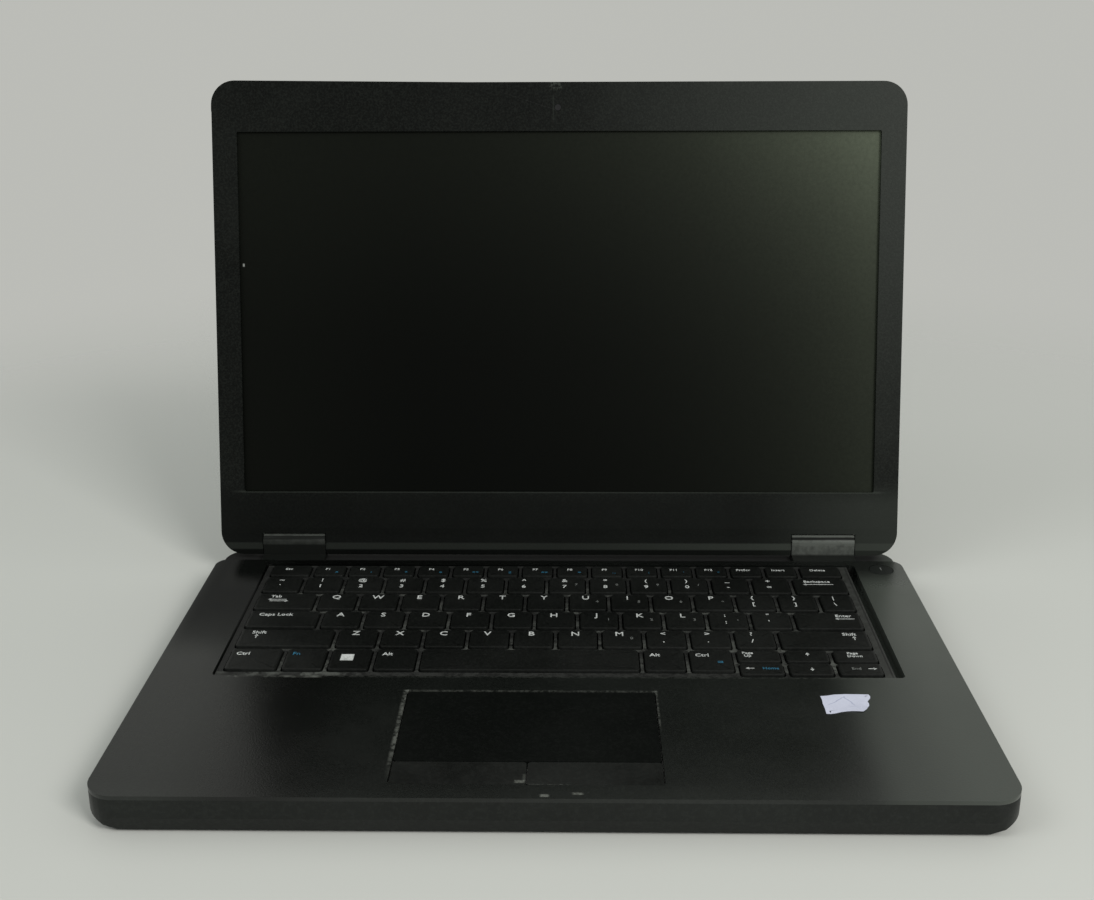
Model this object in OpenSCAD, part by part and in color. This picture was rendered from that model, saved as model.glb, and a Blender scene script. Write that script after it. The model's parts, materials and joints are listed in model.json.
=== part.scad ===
// Worn-out 14 inch notebook computer, standing open on its four rubber feet.
// X runs along the width, Y from the front edge to the back, Z up, in millimetres.
// The origin is on the table, in the middle of the open notebook's footprint.

/* [Base] */
// Width of the base
body_w = 332; // [326:1:400]
// Depth of the base from its front edge to its back edge
body_d = 231.2; // [230:0.2:280]
// Height of the palm rest's top face above the table
deck_z = 15.5; // [14.5:0.5:19]
// Height of the rubber feet
foot_h = 1; // [0.6:0.1:3]
// Corner radius of the base and of the lid, seen from above
corner_r = 11.5; // [6:0.5:16]
// Thickness of the base cover's floor and walls
cover_wall = 1.5; // [1:0.1:2]
// Thickness of the palm rest
deck_wall = 1.6; // [1.2:0.1:2]
// Height of the slanted lower edge that runs round the base
belly_h = 5.5; // [3:0.1:5.8]
// Inset of the underside at the front and back
belly_inset = 1.5; // [1:0.5:12]
// Inset of the underside at the sides
side_inset = 12; // [6:0.5:13]
// Distance from the deck's back edge to the base's back edge
shelf_d = 24.9; // [22:0.1:30]
// Drop from the deck to the shelf that the lid's chin turns over
shelf_drop = 5.6; // [5:0.1:7]
// Corner radius of the deck's back corners, above the shelf
step_r = 7; // [3:0.5:9]

/* [Lid] */
// How far the lid stands past the base at each side
lid_overhang = 1.5; // [0:0.1:3]
// Thickness of the lid
lid_t = 6.4; // [5.5:0.1:8]
// Lean of the open lid past upright, in degrees
lid_lean = 13.36; // [0:0.01:60]
// Gap between the closed lid and the deck
lid_gap = 0.7; // [0.5:0.1:1.5]
// Distance from the hinge axis to the lid's lower edge
axis_to_edge = 6.9; // [6:0.1:9]
// Distance from the hinge axis to the lid's inner face
axis_to_face = 2.6; // [2:0.1:3.2]
// How far the closed lid's back edge lies ahead of the base's back edge
lid_setback = 1; // [0:0.1:3]
// Width of the screen opening
screen_w = 311; // [280:0.5:315]
// Height of the screen opening
screen_h = 175.4; // [150:0.2:176]
// Height of the chin below the screen opening
chin_h = 31.6; // [28:0.1:40]
// Thickness of the lid cover's outer wall
lid_wall = 1.5; // [1:0.1:2]
// Thickness of the bezel
bezel_t = 1.5; // [1:0.1:2]
// Thickness of the screen panel
panel_t = 3; // [2:0.1:3.2]
// How far the sprung bezel edge stands proud at the top left
sprung_h = 1.3; // [0:0.1:2]
// Distance from the left side to the end of the sprung edge
sprung_w = 125; // [60:5:160]

/* [Hinges] */
// Distance from the middle to a hinge cap's inner end
cap_in = 115.8; // [90:0.1:120]
// Width of a hinge cap
cap_w = 30.8; // [24:0.1:36]
// Outer radius of a hinge cap's barrel
cap_r = 3.6; // [3.2:0.1:4]
// Wall of a hinge cap
cap_wall = 0.7; // [0.5:0.1:1]
// Half the depth of the neck under the barrel
neck_half = 2.4; // [2:0.1:2.6]
// Radius of the hinge pin
pin_r = 1.4; // [1:0.1:1.6]
// Running clearance around the hinge pin
pin_fit = 0.05; // [0.02:0.01:0.1]
// Clearance between the lid and a hinge cap
cap_gap = 0.35; // [0.3:0.05:0.6]

/* [Keyboard] */
// Pitch of the letter keys along X
pitch_x = 19.05; // [17:0.05:19.5]
// Pitch of the letter rows along Y
pitch_y = 18.3; // [17:0.05:19.05]
// Gap between two key caps
key_gap = 2.5; // [1.5:0.1:4]
// Height of a key cap
key_h = 1.9; // [1.4:0.1:2.2]
// Height of the key tops above the deck
key_proud = 0.3; // [0:0.05:0.4]
// Depth of the function keys
fkey_d = 11.4; // [8:0.1:14]
// Depth of the keys in the space bar's row
space_row_d = 18.1; // [15:0.1:20]
// Depth of an arrow key
arrow_d = 9.8; // [7:0.1:10]
// Gap between the two rows of arrow keys
arrow_gap = 1.5; // [0.5:0.1:3]
// Corner radius of a key cap
key_r = 1.4; // [0.8:0.1:2]
// Radius of the stem under a key cap
stem_r = 2; // [1.5:0.1:2.2]
// Clearance around a stem in the keyboard plate
stem_fit = 0.3; // [0.2:0.05:0.4]
// Distance from the deck's back edge to the function keys
keys_back = 7.4; // [6:0.1:10]
// Distance that a key travels
key_travel = 1.8; // [1:0.1:1.8]

/* [Touchpad] */
// Width of the touchpad
pad_w = 98.4; // [80:0.2:110]
// Depth of the touchpad
pad_d = 51.5; // [40:0.5:56]
// Depth of the two buttons
button_d = 15.2; // [10:0.2:16]
// Distance of the touchpad's middle to the left of the body's middle
pad_left = 9.2; // [0:0.1:20]
// Distance from the keyboard recess to the touchpad
pad_back = 12.3; // [8:0.1:20]
// Gap around the touchpad and its buttons
pad_gap = 0.4; // [0.3:0.05:0.6]
// Drop from the deck to the touchpad
pad_drop = 0.4; // [0.2:0.1:0.6]

/* [Small parts] */
// Radius of the power button
power_r = 5.5; // [4:0.1:6]
// Distance from the body's right side to the power button
power_in = 11; // [10:0.1:14]
// Distance from the deck's back edge to the power button
power_back = 10; // [8:0.1:14]
// Diameter of the audio socket
audio_d = 3.6; // [3.5:0.05:4]
// Diameter of the power inlet
inlet_d = 5.5; // [4:0.1:5.6]
// Width of the paper label
label_w = 20.1; // [10:0.1:30]
// Depth of the paper label
label_d = 14; // [8:0.1:20]
// Diameter of the fan's rotor
rotor_d = 42; // [30:1:44]
// Number of fan blades
blades = 13; // [7:1:17]

/* [Hidden] */
$fn = 48;
eps = 0.01;
fit = 0.3;

// Base heights and outline
front_y = -body_d / 2;
deck_back_y = body_d / 2 - shelf_d;
under_deck_z = deck_z - deck_wall;
shelf_z = deck_z - shelf_drop;
under_shelf_z = shelf_z - deck_wall;
floor_z = foot_h + cover_wall;
inner_w = body_w - 2 * cover_wall;
inner_r = corner_r - cover_wall;

// Hinge axis and lid
axis_z = deck_z + lid_gap + axis_to_face;
axis_y = body_d / 2 - lid_setback - axis_to_edge;
lid_h = body_d - lid_setback;
lid_w = body_w + 2 * lid_overhang;
lid_top = lid_h - axis_to_edge;
lid_back_y = axis_y + lid_top * sin(lid_lean) + (lid_t - axis_to_face) * cos(lid_lean);
frame_y = -(front_y + lid_back_y) / 2;
bezel_n = axis_to_face - bezel_t;
outer_n = axis_to_face - lid_t;
cavity_n = outer_n + lid_wall;
panel_n = bezel_n - fit - panel_t;
chin_y = chin_h - axis_to_edge;
screen_mid_y = chin_y + screen_h / 2;
panel_over = 4.6;

// Keyboard rows, from the back to the front
key_top_z = deck_z + key_proud;
key_low_z = key_top_z - key_h;
plate_top_z = key_low_z - key_travel - fit;
plate_t = 1;
plate_z = plate_top_z - plate_t;
letter_d = pitch_y - key_gap;
fkey_y = deck_back_y - keys_back - fkey_d / 2;
number_y = fkey_y - fkey_d / 2 - key_gap - letter_d / 2;
upper_y = number_y - pitch_y;
home_y = upper_y - pitch_y;
lower_y = home_y - pitch_y;
space_y = lower_y - letter_d / 2 - key_gap - space_row_d / 2;
arrow_back_y = space_y + space_row_d / 2 - arrow_d / 2;
arrow_front_y = arrow_back_y - arrow_d - arrow_gap;
keys_w = 14.5 * pitch_x;
keys_x = -keys_w / 2;

// Recess that the keyboard lies in, with a wider groove at its right end
recess_left = keys_x - 2.6;
recess_right = keys_w / 2 + 4.7;
recess_back = deck_back_y - 4.7;
recess_front = arrow_front_y - arrow_d / 2 - 2.1;
ledge_x = 5;
ledge_y = 2.6;
membrane_t = 0.5;
membrane_z = plate_z - 2.9;

// Touchpad and its buttons
pad_x = -pad_left;
pad_back_y = recess_front - pad_back;
pad_front_y = pad_back_y - pad_d;
button_front_y = pad_front_y - pad_gap - button_d;
bracket_top_z = under_deck_z - 1.5;
bracket_t = 1;
bracket_lip = 5;

// Places of the inner parts
board_z = floor_z + 0.8;
board_t = 1.2;
board_top_z = board_z + board_t;
fan_x = -body_w / 2 + 52;
fan_y = deck_back_y - 36;
fan_side = rotor_d + 6;
fan_z = floor_z + fit;
fan_h = 4;
fins_w = 10;
port_depth = 18;
screw_r = 1.25;
screw_head_r = 2.6;
boss_r = 3.4;
screw_inset = belly_inset + screw_head_r + 0.8;
bay_front_y = front_y + screw_inset + boss_r + fit;

// ---------------------------------------------------------------- shared shapes

// Rounded rectangle about the origin
module round_rect(w, d, r) {
    square([w - 2 * r, d], center = true);
    square([w, d - 2 * r], center = true);
    for (x = [-1, 1], y = [-1, 1])
        translate([x * (w / 2 - r), y * (d / 2 - r)]) circle(r);
}

// Block of size [w, d, h] with upright rounded edges, standing on z = 0
module round_block(w, d, h, r) {
    linear_extrude(h) round_rect(w, d, r);
}

// Box between two corners
module box(low, high) {
    translate(low) cube(high - low);
}

// Shift from the base's middle to the part's frame
module in_frame() {
    translate([0, frame_y, 0]) children();
}

// The lid's own frame: X along the hinge, Y up the lid, Z towards the keyboard when closed
module in_lid() {
    in_frame() translate([0, axis_y, axis_z]) rotate([90 - lid_lean, 0, 0]) children();
}

// Prism along X from an outline in [y, z]
module along_x(w) {
    translate([-w / 2, 0, 0]) rotate([90, 0, 90]) linear_extrude(w) children();
}

// Mirror image to the left for side = -1
module on_side(side) {
    mirror([side < 0 ? 1 : 0, 0, 0]) children();
}

// Solid that fills the base, shrunk by t at the sides, with its step at step_t from the deck's back edge
module base_solid(t, step_t, low_z, high_z, back_z) {
    half_d = body_d / 2 - t;
    half_w = body_w / 2 - t;
    intersection() {
        along_x(body_w) polygon([
            [-half_d, foot_h + belly_h], [-half_d + belly_inset, low_z],
            [half_d - belly_inset, low_z], [half_d, foot_h + belly_h],
            [half_d, back_z], [deck_back_y + step_t, back_z],
            [deck_back_y - 1 + step_t, high_z], [-half_d, high_z]]);
        rotate([90, 0, 0]) linear_extrude(body_d, center = true) polygon([
            [-half_w, foot_h + belly_h], [-half_w + side_inset, low_z],
            [half_w - side_inset, low_z], [half_w, foot_h + belly_h],
            [half_w, high_z], [-half_w, high_z]]);
        round_block(2 * half_w, 2 * half_d, high_z, corner_r - t);
    }
}

// ---------------------------------------------------------------- sockets

usb_w = 13.2;
usb_h = 5.8;
usb_y_right = deck_back_y - 66;
usb_y_left = recess_front + 22;
video_w = 15.2;
video_h = 5.8;
video_y = deck_back_y - 44;
net_w = 13.2;
net_h = 6.8;
net_y = deck_back_y - 23;
port_z = foot_h + belly_h + 0.3;
port_wall = 0.5;
port_back = 6;
window_gap = 0.15;
audio_y = recess_front + 4;
audio_side = 6;
inlet_y = deck_back_y - 86;
inlet_side = 6.8;
port_x = body_w / 2 - port_depth;
port_face_x = body_w / 2 - 0.2;
leg_x = body_w / 2 - side_inset - cover_wall - 1;

// Opening for a socket in the right wall, or the left one for side = -1
module socket_window(side, y, w, h) {
    window_x = body_w / 2 - cover_wall - side_inset;
    on_side(side) translate([window_x, y - w / 2 - window_gap, port_z - window_gap])
        cube([body_w / 2 - window_x + 1, w + 2 * window_gap, h + 2 * window_gap]);
}

// Body of a socket with the leg that stands on the base's floor
module socket_body(side, y, w, h) {
    on_side(side) {
        translate([port_x, y - w / 2, port_z]) cube([port_face_x - port_x, w, h]);
        translate([port_x, y - w / 2, floor_z]) cube([leg_x - port_x, w, port_z - floor_z + eps]);
    }
}

// Metal shell of a socket, open at the side of the base
module socket_shell(side, y, w, h) {
    difference() {
        socket_body(side, y, w, h);
        on_side(side) translate([port_x + port_back, y - w / 2 + port_wall, port_z + port_wall])
            cube([port_depth, w - 2 * port_wall, h - 2 * port_wall]);
    }
}

// Socket with a round bore of diameter d
module round_socket(side, y, size, d) {
    difference() {
        socket_body(side, y, size, size);
        on_side(side) translate([port_x + port_back, y, port_z + size / 2])
            rotate([0, 90, 0]) cylinder(h = port_depth, d = d);
    }
}

module usb_port_left() {
    color("silver") in_frame() socket_shell(-1, usb_y_left, usb_w, usb_h);
}

module usb_port_right() {
    color("silver") in_frame() socket_shell(1, usb_y_right, usb_w, usb_h);
}

module video_port() {
    color("silver") in_frame() socket_shell(1, video_y, video_w, video_h);
}

module network_port() {
    color("silver") in_frame() socket_shell(1, net_y, net_w, net_h);
}

module audio_jack() {
    color("dimgray") in_frame() round_socket(-1, audio_y, audio_side, audio_d);
}

module power_inlet() {
    color("dimgray") in_frame() round_socket(1, inlet_y, inlet_side, inlet_d);
}

// ---------------------------------------------------------------- base shells

feet_x = body_w / 2 - 34;
feet_y = body_d / 2 - 22;
foot_w = 30;
foot_d = 9;
screw_side = 4.5;
screw_places = [for (x = [-1, 0, 1], y = [-1, 1])
    [x * (body_w / 2 - side_inset - screw_side), y * (body_d / 2 - screw_inset)]];
boss_h = 3;
vent_slots = 9;
vent_pitch = 4.6;
vent_w = 2.6;
vent_low = foot_h + belly_h + 0.2;
vent_h = 4;

// Places of the bosses that carry the motherboard
board_left = -body_w / 2 + 84;
board_right = body_w / 2 - port_depth - 2;
board_back = deck_back_y - 7;
board_front = recess_front + 22;
board_bosses = [for (x = [board_left + 5, board_right - 5], y = [board_front + 5, board_back - 5]) [x, y]];

module base_cover() {
    color("#26282a") in_frame() difference() {
        union() {
            difference() {
                base_solid(0, -deck_wall, foot_h, under_deck_z, under_shelf_z);
                base_solid(cover_wall, 1, floor_z, deck_z, under_shelf_z + 1);
            }
            for (p = screw_places) translate([p[0], p[1], foot_h]) cylinder(h = boss_h, r = boss_r);
            for (p = board_bosses)
                translate([p[0], p[1], floor_z - eps]) cylinder(h = board_z - floor_z + eps, r = 3);
        }
        for (p = screw_places) translate([p[0], p[1], foot_h - 1]) {
            cylinder(h = boss_h + 2, r = screw_r + 0.1);
            cylinder(h = 2.4, r = screw_head_r + 0.3);
        }
        for (i = [0 : vent_slots - 1])
            translate([-body_w / 2 - 1, fan_y + (i - (vent_slots - 1) / 2) * vent_pitch - vent_w / 2, vent_low])
                cube([side_inset, vent_w, vent_h]);
        socket_window(-1, usb_y_left, usb_w, usb_h);
        for (side = [-1, 1]) on_side(side) corner_room(1);
        socket_window(-1, audio_y, audio_side, audio_side);
        socket_window(1, usb_y_right, usb_w, usb_h);
        socket_window(1, video_y, video_w, video_h);
        socket_window(1, net_y, net_w, net_h);
        socket_window(1, inlet_y, inlet_side, inlet_side);
    }
}

// Opening in the deck, from low_z up
module deck_opening(low_x, high_x, low_y, high_y, low_z) {
    translate([(low_x + high_x) / 2, (low_y + high_y) / 2, low_z])
        round_block(high_x - low_x, high_y - low_y, deck_z, opening_r);
}

opening_r = 2;
power_x = body_w / 2 - power_in;
power_y = deck_back_y - power_back;
ring_wall = 1.2;
ledge_t = 1;

// The box that holds one back corner of the deck, above the shelf
module corner_room(extra) {
    translate([body_w / 2 - step_r, deck_back_y + 1 - step_r, under_shelf_z])
        cube([step_r + extra, step_r, deck_z]);
}

// Curved wall at one back corner of the deck
module corner_wall() {
    intersection() {
        translate([body_w / 2 - step_r, deck_back_y + 1 - step_r, under_shelf_z]) difference() {
            cylinder(h = under_deck_z - under_shelf_z + eps, r = step_r);
            translate([0, 0, -1]) cylinder(h = deck_z, r = step_r - deck_wall);
        }
        corner_room(0);
        along_x(body_w) polygon([
            [front_y, under_shelf_z], [deck_back_y + 1, under_shelf_z], [deck_back_y + 1, shelf_z],
            [deck_back_y, deck_z], [front_y, deck_z]]);
    }
}

module palm_rest() {
    color("#1e2021") in_frame() difference() {
        union() {
            intersection() {
                along_x(body_w) polygon([
                    [front_y, under_deck_z], [deck_back_y - 1 - deck_wall, under_deck_z],
                    [deck_back_y - deck_wall, under_shelf_z], [body_d / 2, under_shelf_z],
                    [body_d / 2, shelf_z], [deck_back_y + 1, shelf_z], [deck_back_y, deck_z],
                    [front_y, deck_z]]);
                round_block(body_w, body_d, deck_z, corner_r);
                union() {
                    translate([-body_w / 2, front_y, 0]) cube([body_w, body_d, shelf_z]);
                    translate([0, (deck_back_y + 1 - body_d) / 2, 0])
                        round_block(body_w, deck_back_y + 1 + body_d, deck_z, step_r);
                }
            }
            for (side = [-1, 1]) on_side(side) corner_wall();
            // Walls of the keyboard recess, and the ledge that the keyboard rests on
            translate([recess_left - ring_wall, recess_front - ring_wall, plate_z - ledge_t])
                cube([recess_right - recess_left + 2 * ring_wall,
                    recess_back - recess_front + 2 * ring_wall, under_deck_z - plate_z + ledge_t + eps]);
        }
        deck_opening(recess_left, recess_right, recess_front, recess_back, plate_z);
        deck_opening(recess_left + ledge_x, recess_right - ledge_x,
            recess_front + ledge_y, recess_back - ledge_y, 0);
        deck_opening(pad_x - pad_w / 2 - pad_gap, pad_x + pad_w / 2 + pad_gap,
            button_front_y - pad_gap, pad_back_y + pad_gap, under_deck_z - 1);
        translate([power_x, power_y, under_deck_z - 1]) cylinder(h = deck_wall + 2, r = power_r + fit);
        for (side = [-1, 1]) on_side(side)
            translate([bracket_x - fit, axis_y - leg_half - fit, under_shelf_z - 1])
                cube([bracket_w + 2 * fit, 2 * (leg_half + fit), deck_wall + 2]);
    }
}

module rubber_feet() {
    color("#151515") in_frame()
        for (x = [-1, 1], y = [-1, 1])
            translate([x * feet_x, y * feet_y, 0]) round_block(foot_w, foot_d, foot_h, foot_d / 2 - eps);
}

module base_screws() {
    color("#3a3a3c") in_frame()
        for (p = screw_places) translate([p[0], p[1], foot_h + 0.4]) {
            cylinder(h = 1, r = screw_head_r);
            cylinder(h = boss_h - 0.6, r = screw_r);
        }
}

module paper_label() {
    label_x = label_right - label_w;
    label_y = recess_front - label_back;
    color("#d9d9d2") in_frame() translate([0, 0, deck_z]) linear_extrude(label_t) polygon([
        [label_x, label_y - 0.2], [label_right + 0.1, label_y + 1.1],
        [label_right - 3.3, label_y - 12.3], [label_x - 0.5, label_y - label_d - 0.9]]);
}

label_right = 126;
label_back = 14.4;
label_t = 0.15;

// ---------------------------------------------------------------- keyboard

// One row of keys is a list of [left edge, width in pitches]; every row ends at the same place
ROW_END = 14.38;
function unit_row(lead, count) = [for (i = [0 : count - 1]) [lead + i, 1]];
NUMBER_ROW = unit_row(0, 13);
UPPER_ROW = concat(unit_row(1.5, 12), [[13.5, ROW_END - 13.5]]);
HOME_ROW = unit_row(1.75, 11);
LOWER_ROW = unit_row(2.25, 10);
SPACE_LEFT = 4.25;
SPACE_W = 4.9;
MODIFIER_ROW = [[0, 1.25], [1.25, 1], [2.25, 1], [3.25, 1], [9.15, 1], [10.15, 1.05]];
ARROWS_LEFT = 11.2;
ARROW_W = (ROW_END - ARROWS_LEFT) / 3;
EDGE_FKEY_W = 1.1;
FKEY_W = (ROW_END - 2 * EDGE_FKEY_W) / 14;
FUNCTION_ROW = [for (i = [0 : 15]) i == 0 ? [0, EDGE_FKEY_W]
    : i == 15 ? [ROW_END - EDGE_FKEY_W, EDGE_FKEY_W] : [EDGE_FKEY_W + (i - 1) * FKEY_W, FKEY_W]];

stem_end = 0.2;
function key_mid(k) = keys_x + (k[0] + k[1] / 2) * pitch_x;
function key_width(k) = k[1] * pitch_x - key_gap;

// Stems stand under the middle of a key, and under both ends of a wide one
function stem_places(k) = k[1] < 2 ? [key_mid(k)]
    : [key_mid(k) - key_width(k) * 0.32, key_mid(k), key_mid(k) + key_width(k) * 0.32];

// Key cap with its stems: k is [left edge, width], y its middle, d its depth
module key_cap(k, y, d) {
    translate([key_mid(k), y, key_low_z]) round_block(key_width(k), d, key_h, key_r);
    for (x = stem_places(k))
        translate([x, y, plate_z - stem_end]) cylinder(h = key_low_z - plate_z + stem_end + eps, r = stem_r);
}

module key_row(keys, y, d) {
    color("#1c1d1f") in_frame() for (k = keys) key_cap(k, y, d);
}

module stem_holes(keys, y) {
    for (k = keys, x = stem_places(k))
        translate([x, y, plate_z - 1]) cylinder(h = plate_t + 2, r = stem_r + stem_fit);
}

BACKSPACE = [13, ROW_END - 13];
TAB = [0, 1.5];
CAPS = [0, 1.75];
ENTER = [12.75, ROW_END - 12.75];
LEFT_SHIFT = [0, 2.25];
RIGHT_SHIFT = [12.25, ROW_END - 12.25];
SPACE = [SPACE_LEFT, SPACE_W];
ARROWS = [for (i = [0 : 2]) [ARROWS_LEFT + i * ARROW_W, ARROW_W]];

module function_keys() { key_row(FUNCTION_ROW, fkey_y, fkey_d); }
module number_keys() { key_row(NUMBER_ROW, number_y, letter_d); }
module backspace_key() { key_row([BACKSPACE], number_y, letter_d); }
module tab_key() { key_row([TAB], upper_y, letter_d); }
module upper_letter_keys() { key_row(UPPER_ROW, upper_y, letter_d); }
module caps_lock_key() { key_row([CAPS], home_y, letter_d); }
module home_letter_keys() { key_row(HOME_ROW, home_y, letter_d); }
module enter_key() { key_row([ENTER], home_y, letter_d); }
module left_shift_key() { key_row([LEFT_SHIFT], lower_y, letter_d); }
module lower_letter_keys() { key_row(LOWER_ROW, lower_y, letter_d); }
module right_shift_key() { key_row([RIGHT_SHIFT], lower_y, letter_d); }
module modifier_keys() { key_row(MODIFIER_ROW, space_y, space_row_d); }
module space_key() { key_row([SPACE], space_y, space_row_d); }
module page_up_key() { key_row([ARROWS[0]], arrow_back_y, arrow_d); }
module up_key() { key_row([ARROWS[1]], arrow_back_y, arrow_d); }
module page_down_key() { key_row([ARROWS[2]], arrow_back_y, arrow_d); }
module left_key() { key_row([ARROWS[0]], arrow_front_y, arrow_d); }
module down_key() { key_row([ARROWS[1]], arrow_front_y, arrow_d); }
module right_key() { key_row([ARROWS[2]], arrow_front_y, arrow_d); }

module keyboard_plate() {
    low_x = recess_left + plate_gap;
    high_x = keys_w / 2;
    low_y = recess_front + plate_gap;
    high_y = recess_back - plate_gap;
    color("#17181a") in_frame() difference() {
        translate([(low_x + high_x) / 2, (low_y + high_y) / 2, plate_z])
            round_block(high_x - low_x, high_y - low_y, plate_t, opening_r);
        stem_holes(FUNCTION_ROW, fkey_y);
        stem_holes(concat(NUMBER_ROW, [BACKSPACE]), number_y);
        stem_holes(concat(UPPER_ROW, [TAB]), upper_y);
        stem_holes(concat(HOME_ROW, [CAPS, ENTER]), home_y);
        stem_holes(concat(LOWER_ROW, [LEFT_SHIFT, RIGHT_SHIFT]), lower_y);
        stem_holes(concat(MODIFIER_ROW, [SPACE]), space_y);
        stem_holes(ARROWS, arrow_back_y);
        stem_holes(ARROWS, arrow_front_y);
    }
}

plate_gap = 0.3;
rim_w = 0.7;

// Thin rubber sheet under the plate, with a rim that reaches up to it
module key_membrane() {
    low_x = recess_left + ledge_x + fit;
    high_x = keys_w / 2 - 0.5;
    low_y = recess_front + ledge_y + fit;
    high_y = recess_back - ledge_y - fit;
    color("#55585a") in_frame() difference() {
        translate([(low_x + high_x) / 2, (low_y + high_y) / 2, membrane_z])
            round_block(high_x - low_x, high_y - low_y, plate_z - membrane_z, opening_r);
        translate([low_x + rim_w, low_y + rim_w, membrane_z + membrane_t])
            cube([high_x - low_x - 2 * rim_w, high_y - low_y - 2 * rim_w, plate_z]);
    }
}

// ---------------------------------------------------------------- touchpad and buttons

module touchpad() {
    color("#17181a") in_frame() translate([pad_x, (pad_back_y + pad_front_y) / 2, bracket_top_z])
        round_block(pad_w, pad_d, deck_z - pad_drop - bracket_top_z, 1.5);
}

button_w = (pad_w - pad_gap) / 2;
button_lift = 0.9;
button_stem_r = 1.5;
button_y = button_front_y + button_d / 2;
button_low_z = bracket_top_z + button_lift;

// Button on the left for side = -1 and on the right for side = 1
module touchpad_button(side) {
    x = pad_x + side * (button_w + pad_gap) / 2;
    color("#1b1c1e") in_frame() {
        translate([x, button_y, button_low_z]) round_block(button_w, button_d, deck_z - pad_drop - button_low_z, 1.5);
        translate([x, button_y, bracket_top_z - bracket_t])
            cylinder(h = button_lift + bracket_t + eps, r = button_stem_r);
    }
}

module touchpad_button_left() { touchpad_button(-1); }
module touchpad_button_right() { touchpad_button(1); }

// Steel plate under the touchpad, with raised lips that meet the palm rest
module touchpad_bracket() {
    half = pad_w / 2 + pad_gap + bracket_lip;
    color("silver") in_frame() difference() {
        union() {
            translate([pad_x - half, button_front_y, bracket_top_z - bracket_t])
                cube([2 * half, pad_back_y - button_front_y, bracket_t]);
            for (side = [-1, 1])
                translate([pad_x + side * (half - bracket_lip / 2 + 0.5) - bracket_lip / 2 + 0.5,
                    button_front_y, bracket_top_z - eps])
                    cube([bracket_lip - 1, pad_back_y - button_front_y, under_deck_z - bracket_top_z + eps]);
        }
        for (side = [-1, 1])
            translate([pad_x + side * (button_w + pad_gap) / 2, button_y, bracket_top_z - bracket_t - 1])
                cylinder(h = bracket_t + 2, r = button_stem_r + fit);
    }
}

power_stem_r = 1.5;
power_h = deck_wall + 0.4;

module power_button() {
    color("#202224") in_frame() translate([power_x, power_y, deck_z - power_h])
        cylinder(h = power_h, r = power_r);
}

// ---------------------------------------------------------------- inside the base

pipe_y = fan_y + fan_side / 2 + 1.4;
pipe_d = 5;
pipe_z = board_top_z + 0.7;
pipe_h = 1.3;
chip_x = -50;
chip_y = fan_y;
chip_side = 30;
fins_x = -body_w / 2 + side_inset + cover_wall + 1.5;
fin_t = 0.5;
fin_count = 18;

module motherboard() {
    color("#1f5a3c") in_frame() {
        translate([board_left, board_front, board_z])
            cube([board_right - board_left, board_back - board_front, board_t]);
        translate([chip_x - 12, chip_y - 12, board_top_z - eps]) cube([24, 24, pipe_z - board_top_z + eps]);
        for (i = [0 : 3]) translate([20 + i * 16, board_front + 54, board_top_z - eps]) cube([10, 12, 1]);
    }
}

module heatsink() {
    color("#b87333") in_frame() {
        translate([chip_x - chip_side / 2, chip_y - chip_side / 2, pipe_z])
            cube([chip_side, pipe_y + pipe_d - chip_y + chip_side / 2, pipe_h]);
        translate([fins_x, pipe_y, pipe_z]) cube([chip_x - fins_x, pipe_d, pipe_h]);
        translate([fins_x, fan_y - fan_side / 2, pipe_z + pipe_h - 0.4])
            cube([fins_w, pipe_y + pipe_d - fan_y + fan_side / 2, 0.4]);
        for (i = [0 : fin_count - 1])
            translate([fins_x, fan_y - fan_side / 2 + i * (fan_side - fin_t) / (fin_count - 1), floor_z])
                cube([fins_w, fin_t, pipe_z + pipe_h - floor_z]);
    }
}

axle_r = 1;
axle_fit = 0.05;
fan_low_z = floor_z;
fan_wall = 0.8;

module fan_housing() {
    color("#2a2c2e") in_frame() translate([fan_x, fan_y, fan_low_z]) {
        difference() {
            translate([-fan_side / 2, -fan_side / 2, 0]) cube([fan_side, fan_side, fan_h]);
            translate([0, 0, fan_wall]) cylinder(h = fan_h - 2 * fan_wall, d = rotor_d + 3);
            translate([-fan_side / 2 - 1, -rotor_d / 2, fan_wall]) cube([fan_side / 2, rotor_d, fan_h - 2 * fan_wall]);
            translate([0, 0, fan_h - fan_wall - 1]) cylinder(h = 3, d = rotor_d - 8);
        }
        cylinder(h = fan_h - 0.4, r = axle_r);
    }
}

module fan_rotor() {
    low = fan_wall + fit;
    rotor_h = fan_h - 2 * fan_wall - 2 * fit;
    color("#3c3e40") in_frame() translate([fan_x, fan_y, fan_low_z + low]) difference() {
        union() {
            cylinder(h = rotor_h, d = rotor_d * 0.4);
            for (i = [0 : blades - 1]) rotate([0, 0, i * 360 / blades])
                translate([rotor_d * 0.15, -0.4, 0]) cube([rotor_d * 0.35 - 0.3, 0.8, rotor_h]);
        }
        translate([0, 0, -1]) cylinder(h = fan_h, r = axle_r + axle_fit);
    }
}

battery_w = 188;
battery_h = 6;
drive_w = 100;
drive_h = 7;
bay_d = 70;
bay_gap = 4;
battery_x = -inner_w / 2 + 19;
drive_x = battery_x + battery_w + bay_gap;

module battery() {
    color("#202224") in_frame() translate([battery_x, bay_front_y, floor_z])
        cube([battery_w, bay_d, battery_h]);
}

module drive() {
    color("#8d9093") in_frame() translate([drive_x, bay_front_y, floor_z])
        cube([drive_w, bay_d, drive_h]);
}

module memory_module() {
    color("#2c6e49") in_frame() translate([20, board_front + 6, board_top_z]) {
        cube([67.6, 4, 1.8]);
        translate([0, 4 - eps, 0.6]) cube([67.6, 26, 1]);
    }
}

module wireless_card() {
    color("#2c6e49") in_frame() translate([100, board_front + 6, board_top_z]) {
        cube([22, 3, 1.8]);
        translate([0, 3 - eps, 0.6]) cube([22, 27, 1]);
    }
}

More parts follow.
